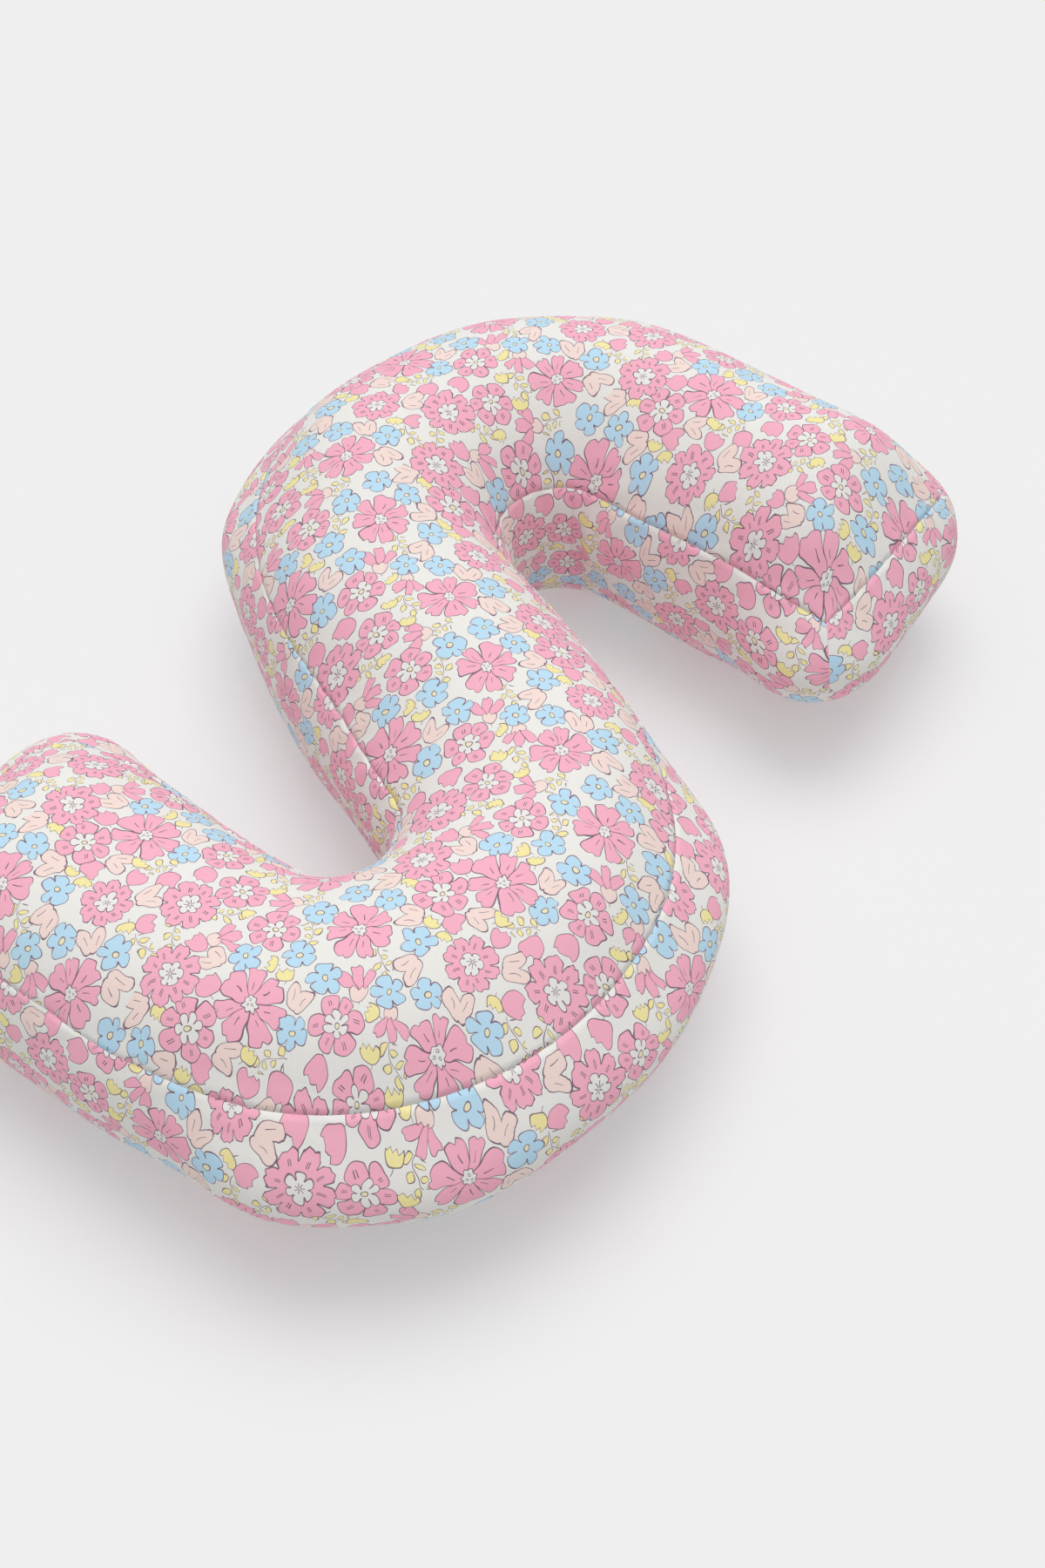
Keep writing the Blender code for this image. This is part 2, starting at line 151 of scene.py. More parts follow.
def mesh_from(bm: bmesh.types.BMesh, name: str) -> bpy.types.Mesh:
    """Turn a bmesh into a mesh and free it.

    Args:
        bm: the bmesh.
        name: the mesh's name.

    Returns:
        The mesh.
    """
    mesh = bpy.data.meshes.new(name)
    bm.to_mesh(mesh)
    bm.free()
    return mesh


def evaluated_mesh(piece: bpy.types.Object) -> bpy.types.Mesh:
    """A new mesh of the piece as its modifiers leave it."""
    graph = bpy.context.evaluated_depsgraph_get()
    return bpy.data.meshes.new_from_object(piece.evaluated_get(graph))


# ---- shader graphs written as sums ----


class Num:
    """A number in a shader graph, with the usual operators."""

    def __init__(self, tree: bpy.types.NodeTree, socket: Socket) -> None:
        self.tree = tree
        self.socket = socket

    def op(self, kind: str, *others: Num | float, clamp: bool = False) -> Num:
        """Put a Math node after this number.

        Args:
            kind: the node's operation.
            others: its other inputs.
            clamp: keep the result from 0 to 1.

        Returns:
            The result.
        """
        node = self.tree.nodes.new("ShaderNodeMath")
        node.operation = kind
        node.use_clamp = clamp
        for socket, value in zip(node.inputs, (self, *others)):
            if isinstance(value, Num):
                self.tree.links.new(value.socket, socket)
            else:
                socket.default_value = value
        return Num(self.tree, node.outputs[0])

    def __add__(self, other: Num | float) -> Num:
        return self.op("ADD", other)

    def __sub__(self, other: Num | float) -> Num:
        return self.op("SUBTRACT", other)

    def __mul__(self, other: Num | float) -> Num:
        return self.op("MULTIPLY", other)

    def abs(self) -> Num:
        """Size without the sign."""
        return self.op("ABSOLUTE")

    def minus_from(self, value: float) -> Num:
        """A constant less this number."""
        return self.op("MULTIPLY_ADD", -1.0, value)

    def below(self, limit: float, soft: float) -> Num:
        """1 where this number is below a limit and 0 above it, with a soft edge."""
        return self.op("MULTIPLY_ADD", -1.0 / soft, limit / soft + 0.5, clamp=True)

    def above(self, limit: float, soft: float) -> Num:
        """1 where this number is above a limit and 0 below it, with a soft edge."""
        return self.op("MULTIPLY_ADD", 1.0 / soft, 0.5 - limit / soft, clamp=True)

    def fold(self, count: float) -> Num:
        """Fold an angle round its nearest spoke of several, to 0 on it and half between two."""
        return (self * (count / (2.0 * math.pi))).op("PINGPONG", 0.5)


class Motif(Enum):
    """Motifs of the print: radius and radius kept free, in parts of the scale, and number."""

    COSMOS = (18.0, 16.6, 3)
    FRILLY = (15.0, 14.3, 3)
    ROUND = (14.0, 13.3, 4)
    BLUE = (8.8, 8.4, 11)
    TULIP = (7.0, 6.0, 7)
    FAN = (9.5, 7.6, 4)
    LEAVES = (8.0, 7.2, 9)
    CROWN = (4.6, 4.2, 11)
    SPRIG = (8.5, 6.2, 8)

    @property
    def radius(self) -> float:
        """Radius of the motif, in metres."""
        return self.value[0] * MOTIF_SCALE

    @property
    def reach(self) -> float:
        """How far the drawing reaches, in radii: open motifs reach past their radius."""
        return 1.25 if self.name in OPEN_MOTIFS else 1.02


@dataclass(frozen=True)
class Inks:
    """Colours of the print, linear."""

    ground: tuple[float, float, float] = (0.88, 0.87, 0.83)
    pink: tuple[float, float, float] = (0.98, 0.475, 0.60)
    blue: tuple[float, float, float] = (0.535, 0.78, 0.945)
    peach: tuple[float, float, float] = (0.95, 0.765, 0.705)
    yellow: tuple[float, float, float] = (0.96, 0.865, 0.41)
    cream: tuple[float, float, float] = (0.90, 0.84, 0.55)
    line: tuple[float, float, float] = (0.23, 0.15, 0.21)


@dataclass
class FloralPrint:
    """A repeating scatter of outlined flowers, drawn by the shader on the cut cloth's own map."""

    width: float = 0.125
    height: float = 0.111
    seed: int = 11
    line: float = 0.40 * MM
    wobble: float = 1.3 * MM
    wobble_scale: float = 150.0
    size_swing: float = 0.06
    size_turns: float = 5.0
    tries: int = 60
    settling_steps: int = 600
    settling_share: float = 0.35
    alike_gap: float = 1.14
    inks: Inks = field(default_factory=Inks)

    def scatter(self) -> list[tuple[Motif, float, float, float]]:
        """Spread the motifs evenly over the repeat.

        Returns:
            Motif, x, y and turn of each.
        """
        dice = np.random.default_rng(self.seed)
        motifs = [motif for motif in Motif for _ in range(motif.value[2])]
        reach = np.array([motif.value[1] * MOTIF_SCALE for motif in motifs])
        size = np.array([self.width, self.height])
        spots = dice.random((len(motifs), 2)) * size
        for motif_index in range(len(motifs)):
            tries = dice.random((self.tries, 2)) * size
            gap = tries[:, None] - spots[None, :motif_index]
            gap -= np.round(gap / size) * size
            room = np.linalg.norm(gap, axis=2) - reach[None, :motif_index]
            best = np.argmax(room.min(axis=1)) if motif_index else 0
            spots[motif_index] = tries[best]
        need = reach[:, None] + reach[None, :]
        alike = np.array([[one is other for one in motifs] for other in motifs])
        need = need * np.where(alike, self.alike_gap, 1.0)
        for _ in range(self.settling_steps):
            gap = spots[:, None] - spots[None]
            gap -= np.round(gap / size) * size
            far = np.linalg.norm(gap, axis=2) + np.eye(len(motifs))
            push = np.maximum(need - far, 0.0) * (1.0 - np.eye(len(motifs)))
            light = (reach[None] / need)[:, :, None]
            spots += (gap / far[:, :, None] * push[:, :, None] * light).sum(axis=1) * self.settling_share
            spots %= size
        turns = dice.random(len(motifs)) * 2.0 * math.pi
        return [(motif, *spot, turn) for motif, spot, turn in zip(motifs, spots, turns)]

    def material(self) -> bpy.types.Material:
        """Make the printed cotton.

        Returns:
            The material, which reads the piece's own cloth map in metres.
        """
        material = bpy.data.materials.new("floral_cotton")
        material.use_nodes = True
        tree = material.node_tree
        shader = tree.nodes["Principled BSDF"]
        cloth = tree.nodes.new("ShaderNodeUVMap")
        cloth.uv_map = "cloth"
        place = self.wobbled(tree, cloth.outputs[0])
        self.colour = colour_mix(tree, None, self.inks.ground, self.inks.ground, 0.0)
        spots = self.scatter()
        for motif in DRAW_ORDER:
            local = self.nearest(tree, place, [spot for spot in spots if spot[0] is motif])
            Drawing(tree, self, motif, local).draw()
        weave = Weave(tree, cloth.outputs[0])
        # base colour with painted shade between the weave's threads and a random grain
        tree.links.new(weave.painted_thread_shade_and_grain(self.colour), shader.inputs["Base Color"])
        tree.links.new(weave.bump(), shader.inputs["Normal"])
        shader.inputs["Roughness"].default_value = 0.82
        shader.inputs["Sheen Weight"].default_value = 0.12
        shader.inputs["Sheen Roughness"].default_value = 0.4
        shader.inputs["Specular IOR Level"].default_value = 0.25
        return material

    def wobbled(self, tree: bpy.types.NodeTree, place: Socket) -> Socket:
        """Shift the map slightly here and there, as a drawn line wavers, and wrap it to the repeat."""
        noise = noise_at(tree, place, self.wobble_scale, 0.0)
        noise.noise_dimensions = "2D"
        most = (self.wobble * 2.0, self.wobble * 2.0, 0.0)
        shift = vector_op(tree, "MULTIPLY_ADD", noise.outputs["Color"], most, place)
        return vector_op(tree, "WRAP", shift, (self.width, self.height, 1.0), (0.0, 0.0, 0.0))

    def nearest(self, tree: bpy.types.NodeTree, place: Socket, spots: list[tuple]) -> Socket:
        """Place within the nearest motif of one kind, in units of its radius.

        Args:
            tree: the material's nodes.
            place: place within the repeat.
            spots: the motifs of this kind.

        Returns:
            x and y within the motif, or a place far outside it.
        """
        centre: Socket | tuple = FAR_AWAY
        for x, y, turn, reach in self.copies(spots):
            away = Num(tree, vector_op(tree, "DISTANCE", place, (x, y, 0.0), output="Value"))
            centre = vector_mix(tree, away.op("LESS_THAN", reach), centre, (x, y, turn))
        turn = components(tree, centre)[2]
        unit = 1.0 / spots[0][0].radius
        offset = vector_op(tree, "SUBTRACT", place, centre)
        flat = vector_op(tree, "MULTIPLY", offset, (unit, unit, 0.0))
        rotate = tree.nodes.new("ShaderNodeVectorRotate")
        rotate.rotation_type = "Z_AXIS"
        tree.links.new(flat, rotate.inputs["Vector"])
        tree.links.new(turn.socket, rotate.inputs["Angle"])
        smaller = (turn * self.size_turns).op("SINE").op("MULTIPLY_ADD", -self.size_swing, 1.0)
        grown = tree.nodes.new("ShaderNodeVectorMath")
        grown.operation = "SCALE"
        tree.links.new(rotate.outputs[0], grown.inputs[0])
        tree.links.new(smaller.socket, grown.inputs["Scale"])
        return grown.outputs[0]

    def copies(self, spots: list[tuple]) -> Iterator[tuple[float, float, float, float]]:
        """Each motif's copies that reach into the repeat, over its edges too.

        Args:
            spots: the motifs.

        Yields:
            x, y and turn of a copy, and how far it reaches. Its size goes with its turn.
        """
        for motif, x, y, turn in spots:
            reach = motif.reach * motif.radius * (1.0 + self.size_swing * math.sin(self.size_turns * turn))
            for copy_x in (x - self.width, x, x + self.width):
                for copy_y in (y - self.height, y, y + self.height):
                    past_x = max(-copy_x, copy_x - self.width, 0.0)
                    past_y = max(-copy_y, copy_y - self.height, 0.0)
                    if math.hypot(past_x, past_y) <= reach:
                        yield copy_x, copy_y, turn, reach


def vector_op(tree: bpy.types.NodeTree, kind: str, *values: Socket | tuple,
              output: str = "Vector") -> Socket:
    """Add a Vector Math node and return one of its results."""
    node = tree.nodes.new("ShaderNodeVectorMath")
    node.operation = kind
    for socket, value in zip(node.inputs, values):
        if isinstance(value, tuple):
            socket.default_value = value
        else:
            tree.links.new(value, socket)
    return node.outputs[output]


def components(tree: bpy.types.NodeTree, vector: Socket) -> tuple[Num, Num, Num]:
    """Part a vector in a shader graph into x, y and z."""
    node = tree.nodes.new("ShaderNodeSeparateXYZ")
    tree.links.new(vector, node.inputs[0])
    return Num(tree, node.outputs[0]), Num(tree, node.outputs[1]), Num(tree, node.outputs[2])


def noise_at(tree: bpy.types.NodeTree, place: Socket, scale: float, detail: float) -> bpy.types.Node:
    """Add a noise texture read at a place."""
    node = tree.nodes.new("ShaderNodeTexNoise")
    node.inputs["Scale"].default_value = scale
    node.inputs["Detail"].default_value = detail
    tree.links.new(place, node.inputs["Vector"])
    return node


def relief(tree: bpy.types.NodeTree, height: Num, strength: float, depth: float) -> Socket:
    """Normal of a surface raised by a height."""
    node = tree.nodes.new("ShaderNodeBump")
    node.inputs["Strength"].default_value = strength
    node.inputs["Distance"].default_value = depth
    tree.links.new(height.socket, node.inputs["Height"])
    return node.outputs[0]


def vector_mix(tree: bpy.types.NodeTree, share: Num, under: Socket | tuple, over: tuple) -> Socket:
    """Lay a fixed vector over another by a share."""
    node = tree.nodes.new("ShaderNodeMix")
    node.data_type = "VECTOR"
    tree.links.new(share.socket, node.inputs["Factor"])
    a, b = (socket for socket in node.inputs if socket.type == "VECTOR" and socket.name in "AB")
    if isinstance(under, tuple):
        a.default_value = under
    else:
        tree.links.new(under, a)
    b.default_value = over
    return next(socket for socket in node.outputs if socket.type == "VECTOR")


def colour_mix(tree: bpy.types.NodeTree, share: Num | None, under: Socket | tuple, over: Socket | tuple,
               constant: float = 0.0, blend: str = "MIX") -> Socket:
    """Mix two colours, each linked or constant, by a number in the graph or a constant share."""
    node = tree.nodes.new("ShaderNodeMix")
    node.data_type = "RGBA"
    node.blend_type = blend
    if share is None:
        node.inputs["Factor"].default_value = constant
    else:
        tree.links.new(share.socket, node.inputs["Factor"])
    sides = (socket for socket in node.inputs if socket.type == "RGBA")
    for socket, value in zip(sides, (under, over)):
        if isinstance(value, tuple):
            socket.default_value = (*value, 1.0)
        else:
            tree.links.new(value, socket)
    return next(socket for socket in node.outputs if socket.type == "RGBA")


class Drawing:
    """One kind of motif, drawn over the colour so far, in units of its radius."""

    def __init__(self, tree: bpy.types.NodeTree, print_: FloralPrint, motif: Motif, local: Socket) -> None:
        self.tree = tree
        self.print = print_
        self.motif = motif
        self.inks = print_.inks
        self.line = print_.line / motif.radius * (0.8 if motif.name in OPEN_MOTIFS else 1.0)
        self.soft = 0.3 * self.line
        self.x, self.y, _ = components(tree, local)
        self.r = Num(tree, vector_op(tree, "LENGTH", local, output="Value"))
        self.a = self.y.op("ARCTAN2", self.x)

    def paint(self, mask: Num, ink: tuple) -> None:
        """Lay an ink over the colour so far."""
        self.print.colour = colour_mix(self.tree, mask, self.print.colour, ink)

    def fill(self, depth: Num, ink: tuple) -> None:
        """Fill where a depth is positive, and outline where it is 0."""
        self.paint(depth.above(0.0, self.soft), ink)
        self.paint(depth.abs().below(self.line / 2, self.soft), self.inks.line)

    def stroke(self, off: Num, along: Num, start: float, end: float) -> None:
        """Draw a line where off is about 0 and along is between start and end."""
        middle, half = (start + end) / 2, (end - start) / 2
        inside = (along - middle).abs().below(half, self.soft)
        self.paint(off.abs().below(self.line * 0.42, self.soft) * inside, self.inks.line)

    def petals(self, r: Num, a: Num, count: int, rim: Num, cleft: float, start: float,
               fused: float = 0.0) -> Num:
        """Depth inside a ring of petals.

        Args:
            r: distance from the middle.
            a: angle folded to each petal.
            count: number of petals.
            rim: distance of the petals' tips.
            cleft: how far the petals part at their tips.
            start: where they begin to part.
            fused: radius within which they are one.

        Returns:
            The depth.
        """
        part = (r - start).op("MULTIPLY", cleft / (1.0 - start)).op("MAXIMUM", 0.0)
        side = (part + a).minus_from(0.5) * r * (2.0 * math.pi / count)
        if fused:
            side = side.op("MAXIMUM", r.minus_from(fused))
        return (rim - r).op("SMOOTH_MIN", side, 0.14)

    def wavy(self, a: Num, height: float, turns: float, start: float = 0.0) -> Num:
        """A radius that wavers slowly with the angle."""
        return (a * turns + start).op("SINE") * height

    def draw(self) -> None:
        """Draw this kind."""
        ways = {Motif.COSMOS: self.cosmos, Motif.FRILLY: self.frilly, Motif.ROUND: self.round,
                Motif.BLUE: self.blue, Motif.TULIP: self.tulip, Motif.CROWN: self.crown,
                Motif.FAN: self.fan, Motif.LEAVES: self.leaves, Motif.SPRIG: self.sprig}
        ways[self.motif]()

    def cosmos(self) -> None:
        """Large flower with deep clefts and notched tips."""
        a = self.a + self.wavy(self.a, 0.12, 3.0)
        q = a.fold(7)
        notch = q.op("MULTIPLY_ADD", -8.0, 1.0).op("MAXIMUM", 0.0) * 0.09
        rim = (q * q * 0.42 + notch).minus_from(0.97) + self.wavy(self.a, 0.05, 2.0)
        depth = self.petals(self.r, q, 7, rim, 0.13, 0.34)
        self.fill(depth, self.inks.pink)
        self.stroke(q * self.r + self.r * 0.02 - 0.012, self.r, 0.38, 0.60)
        self.middle(0.20, 0.30, 7, self.inks.ground)
        dots = self.a.fold(3) * self.r * 2.1
        ring = dots * dots + (self.r - 0.085) * (self.r - 0.085)
        self.paint((ring.op("SQRT") - 0.030).abs().below(self.line * 0.32, self.soft), self.inks.line)

    def middle(self, size: float, waver: float, count: int, ink: tuple) -> None:
        """Small outlined centre with a star's edge."""
        q = self.a.fold(count)
        depth = (q * waver * 2.0).minus_from(1.0 + waver * 0.5) * size - self.r
        self.fill(depth, ink)

    def frilly(self) -> None:
        """Flower with scalloped petals, a white star and dark spokes."""
        q = (self.a + self.wavy(self.a, 0.08, 2.0)).fold(8)
        scallop = (q * 5.0).op("PINGPONG", 0.84) * 0.07
        rim = (q * q * 0.30).minus_from(0.95) + scallop
        self.fill(self.petals(self.r, q, 8, rim, 0.12, 0.62, 0.68), self.inks.pink)
        self.stroke(q * self.r * 0.8 - 0.028, self.r, 0.52, 0.72)
        star = self.a.fold(6)
        petal = self.petals(self.r * 2.35, star, 6, (star * star * 0.9).minus_from(1.0), 0.12, 0.40, 0.62)
        self.fill(petal * 0.42, self.inks.ground)
        self.stroke(self.a.fold(7) * self.r * 0.9, self.r, 0.03, 0.17)

    def round(self) -> None:
        """Flower with six round petals and a white star with a ringed dot."""
        q = (self.a + self.wavy(self.a, 0.14, 2.0)).fold(6)
        rim = (q * q * 0.55).minus_from(0.98) + self.wavy(self.a, 0.03, 3.0)
        self.fill(self.petals(self.r, q, 6, rim, 0.10, 0.50), self.inks.pink)
        self.stroke(q * self.r - 0.035, self.r, 0.58, 0.78)
        star = (self.a + 0.5).fold(6)
        petal = self.petals(self.r * 2.1, star, 6, (star * star * 1.3).minus_from(1.0), 0.12, 0.35, 0.45)
        self.fill(petal * 0.48, self.inks.ground)
        self.fill(self.r.minus_from(0.10), self.inks.cream)

    def blue(self) -> None:
        """Small flower with five petals."""
        a = self.a + self.wavy(self.a, 0.16, 2.0, 1.0)
        q = a.fold(5)
        rim = (q * q * 0.95).minus_from(0.98) + self.wavy(self.a, 0.05, 3.0)
        self.fill(self.petals(self.r, q, 5, rim, 0.10, 0.45, 0.50), self.inks.blue)
        self.fill(self.r.minus_from(0.17), self.inks.cream)

    def cup(self, x: Num, y: Num, wide: float, tall: float, top: float, teeth: float, high: float) -> Num:
        """Depth inside a bud: round below, with teeth along its top."""
        across, up = x * (1.0 / wide), y * (1.0 / tall)
        body = ((across * across + up * up).op("SQRT")).minus_from(1.0) * min(wide, tall)
        jag = (x * teeth + 0.25).op("PINGPONG", 0.5) * (2.0 * high)
        return (jag + top - y).op("SMOOTH_MIN", body, 0.08)

    def tulip(self) -> None:
        """Pink bud on a short stem."""
        self.stroke(self.x - (self.y + 0.9) * (self.y + 0.9) * 0.8, self.y, -1.22, -0.8)
        self.fill(self.cup(self.x, self.y, 0.80, 0.92, 0.40, 1.5, 0.24), self.inks.pink)

    def crown(self) -> None:
        """Tiny yellow bud."""
        self.stroke(self.x + (self.y + 0.9) * (self.y + 0.9) * 0.9, self.y, -1.22, -0.7)
        self.fill(self.cup(self.x, self.y, 0.98, 0.80, 0.14, 1.5, 0.42), self.inks.yellow)

    def fan(self) -> None:
        """Side view of a flower: three notched petals in a pale calyx."""
        y = self.y + 0.72
        r = (self.x * self.x + y * y).op("SQRT")
        a = self.x.op("ARCTAN2", y)
        sector = 2.0 * math.pi / 9.5
        q = a.fold(9.5)
        scallop = (q * 5.0).op("PINGPONG", 0.84) * 0.11
        rim = (q * q * 0.5 + a * a * 0.10).minus_from(1.36) + scallop
        depth = self.petals(r, q, 9, rim, 0.09, 0.75)
        depth = depth.op("SMOOTH_MIN", a.abs().minus_from(1.5 * sector) * r, 0.14)
        self.fill(depth, self.inks.pink)
        self.fill(self.cup(self.x, self.y + 0.62, 0.42, 0.46, 0.10, 3.2, 0.16), self.inks.peach)
        self.stroke(self.x, self.y, -1.24, -1.08)

    def leaves(self) -> None:
        """Two pale leaves side by side, each with a mid-line."""
        x = self.x.abs() - 0.38
        y = self.y + self.x * 0.16
        turn = 0.34
        across = x * math.cos(turn) - y * math.sin(turn)
        along = x * math.sin(turn) + y * math.cos(turn)
        notch = (along * 4.0 + 0.4).op("PINGPONG", 0.5) * 0.05
        wide, tall = across * (1.0 / 0.45), along * (1.0 / 0.88)
        depth = (wide * wide + tall * tall).op("SQRT").minus_from(1.0) * 0.45 - notch * 0.6
        self.fill(depth, self.inks.peach)
        self.stroke(across - along * along * 0.3, along, -0.30, 0.30)

    def sprig(self) -> None:
        """Thin curved stem with small leaves on both sides."""
        x = self.x + 1.3
        off = (x * x + self.y * self.y).op("SQRT") - 1.3
        along = self.y.op("ARCTAN2", x) * 1.3
        self.stroke(off, along, -1.05, 0.80)
        side = off.op("LESS_THAN", 0.0) * 0.34
        step = (along + side).op("WRAP", 0.34, -0.34)
        out = off.abs() - 0.30
        across = out * 0.60 - step * 0.80
        length = out * 0.80 + step * 0.60
        leaf = (across.abs() * 0.94 + length * length * 2.2).minus_from(0.155)
        leaf = leaf.op("MINIMUM", (along - 0.04).abs().minus_from(0.92))
        self.fill(leaf, self.inks.yellow)


DRAW_ORDER = (Motif.SPRIG, Motif.LEAVES, Motif.FAN, Motif.TULIP, Motif.CROWN, Motif.ROUND, Motif.FRILLY,
              Motif.BLUE, Motif.COSMOS)


class Weave:
    """Plain weave: fine threads that shade and roughen the cloth."""

    pitch = 0.36 * MM
    grain_scale = 900.0
    thread_depth = 0.12 * MM
    shade = (0.55, 0.54, 0.53)

    def __init__(self, tree: bpy.types.NodeTree, place: Socket) -> None:
        self.tree = tree
        x, y, _ = components(tree, place)
        turn = 2.0 * math.pi / self.pitch
        self.threads = (x * turn).op("SINE") * (y * turn).op("SINE")
        self.grain = Num(tree, noise_at(tree, place, self.grain_scale, 2.0).outputs[0])

    def painted_thread_shade_and_grain(self, colour: Socket) -> Socket:
        """Darken a colour slightly: painted shade between the threads, and a random grain."""
        # painted shade: the threads term darkens the gaps between the threads; the grain term is random tone
        share = (self.threads * 0.25 + self.grain).op("MULTIPLY_ADD", 0.16, 0.0, clamp=True)
        return colour_mix(self.tree, share, colour, self.shade, blend="MULTIPLY")

    def bump(self) -> Socket:
        """Normal of the woven surface."""
        return relief(self.tree, self.threads * 0.4 + self.grain, 0.35, self.thread_depth)


# ---- the sewn form ----


@dataclass(frozen=True)
class PillowForm:
    """Sizes of the sewn form, and its mapping from a box of -1 to 1 to the S.

    u runs along the S from the lower arm's end to the upper arm's, v across it, and level up the wall.
    """

    centre: tuple[float, float, float] = tuple(JOINTS["zip_slide"]["pos_m"])
    height: float = CAD_BOX[1][2]
    bend_angle: float = math.radians(156.5)
    arm_length: float = 0.146
    half_width: float = 0.067
    corner: float = 0.025
    half_wall: float = 0.032
    end_reach: float = 0.065
    flat_share: float = 0.58
    swell_outer: float = 0.024
    swell_arm: float = 0.012
    swell_bar: float = 0.008
    swell_end: float = 0.031
    swell_notch: float = 0.004
    swell_front: float = 0.0115
    swell_lower: float = 0.0075
    front_angle: float = math.radians(108.0)
    front_width: float = math.radians(42.0)
    start_upper: float = math.radians(18.0)
    start_lower: float = math.radians(3.0)
    end_thinning: float = 0.58
    crown_power: float = 0.75
    lift_power: float = 1.5
    swell_power: float = 0.75
    spread: float = 0.007
    turn_in: float = math.radians(24.0)
    turn_out: float = math.radians(16.5)
    plump_upper: float = 0.015
    slack_lower: float = 0.007

    @property
    def bend_radius(self) -> float:
        """Radius of the centreline in the bends."""
        return self.centre[0]

    @property
    def bar_half(self) -> float:
        """Half the length of the straight bar."""
        return self.centre[1]

    @property
    def seam_high(self) -> float:
        """Height of the upper seam."""
        return self.centre[2] + self.half_wall

    @property
    def seam_low(self) -> float:
        """Height of the lower seam."""
        return self.centre[2] - self.half_wall

    @property
    def half_length(self) -> float:
        """Length of the centreline from the middle to an arm's end."""
        return self.bar_half + self.bend_radius * self.bend_angle + self.arm_length

    @property
    def wall_radius(self) -> float:
        """Radius of the outer wall of a bend at mid height."""
        return self.bend_radius + self.half_width + self.swell_outer

    def centreline(self, s: Array) -> tuple[Array, Array, Array]:
        """Follow the centreline.

        Args:
            s: distances from the middle, positive towards the upper arm.

        Returns:
            x, y and heading at each distance.
        """
        sign = np.where(s < 0.0, -1.0, 1.0)
        along = np.abs(s)
        bend = self.bend_radius * self.bend_angle
        turned = np.clip(along - self.bar_half, 0.0, bend) / self.bend_radius
        heading = math.pi / 2 - turned
        beyond = np.maximum(along - self.bar_half - bend, 0.0)
        x = self.bend_radius * (1.0 - np.cos(turned)) + beyond * np.cos(heading)
        y = np.minimum(along, self.bar_half) + self.bend_radius * np.sin(turned)
        return sign * x, sign * (y + beyond * np.sin(heading)), heading

    def end_share(self, u: Array) -> Array:
        """0 away from an arm's end, rising to 1 at the end."""
        return np.maximum(0.0, 1.0 - self.half_length * (1.0 - np.abs(u)) / self.end_reach)

    def plan(self, u: Array, v: Array, inset: Array | float = 0.0) -> tuple[Array, Array]:
        """Map to the plan of the S, with its arms' corners rounded.

        Args:
            u: place along the S.
            v: place across it.
            inset: how far the outline is drawn in.

        Returns:
            x and y.
        """
        s = self.half_length * np.abs(u) - inset * self.end_share(u)
        t = (self.half_width - inset) * np.abs(v)
        corner = self.corner - np.minimum(inset, 0.0)
        past = np.maximum(corner - (self.half_length - inset - s), 0.0)
        side = np.maximum(corner - (self.half_width - inset - t), 0.0)
        both = (past > 0.0) & (side > 0.0)
        reach = np.hypot(past, side)
        squash = np.where(both, np.maximum(past, side) / np.where(both, reach, 1.0), 1.0)
        s = np.copysign(s - past * (1.0 - squash), u)
        t = np.copysign(t - side * (1.0 - squash), v)
        x, y, heading = self.centreline(s)
        return x - t * np.sin(heading), y + t * np.cos(heading)

    def swell(self, u: Array, v: Array) -> Array:
        """How far the wall swells beyond the seams at mid height, at each place of the outline."""
        turned = (np.abs(u) * self.half_length - self.bar_half) / self.bend_radius
        zipped = u > 0.0
        start = np.where(zipped, self.start_upper, self.start_lower)
        fade = np.where(zipped, self.bend_angle - turned, (self.bend_angle - 0.1 - turned) * 0.58)
        bent = smooth((turned - start) / self.turn_in) * smooth(fade / self.turn_out)
        across = smooth(0.5 + 0.5 * v * np.where(u < 0.0, -1.0, 1.0))
        front = smooth(1.0 - np.abs(turned - self.front_angle) / self.front_width) * ~zipped
        outer = self.swell_outer + self.swell_front * front + self.swell_lower * ~zipped
        outer = outer - self.spread_out(u, v)
        in_bend = self.swell_notch + (outer - self.swell_notch) * across
        straight = np.where(turned < self.bend_angle / 2, self.swell_bar, self.swell_arm)
        end = self.swell_end * (1.0 - self.end_thinning * across)
        straight = straight + (end - straight) * smooth(self.end_share(u) * 1.3)
        return straight + (in_bend - straight) * bent

    def spread_out(self, u: Array, v: Array) -> Array:
        """How far the seams stand out on the outer side of the upper bend, where the filling is fullest."""
        turned = (u * self.half_length - self.bar_half) / self.bend_radius
        bent = smooth((turned - 0.5) / 0.6) * smooth((self.bend_angle + 0.3 - turned) / 0.6)
        return self.spread * bent * smooth(v)

    def edge_share(self, u: Array, v: Array) -> Array:
        """0 over the middle of the S and 1 at its outline."""
        return np.minimum((np.abs(v) ** 4 + self.end_share(u) ** 4) ** 0.25, 1.0)

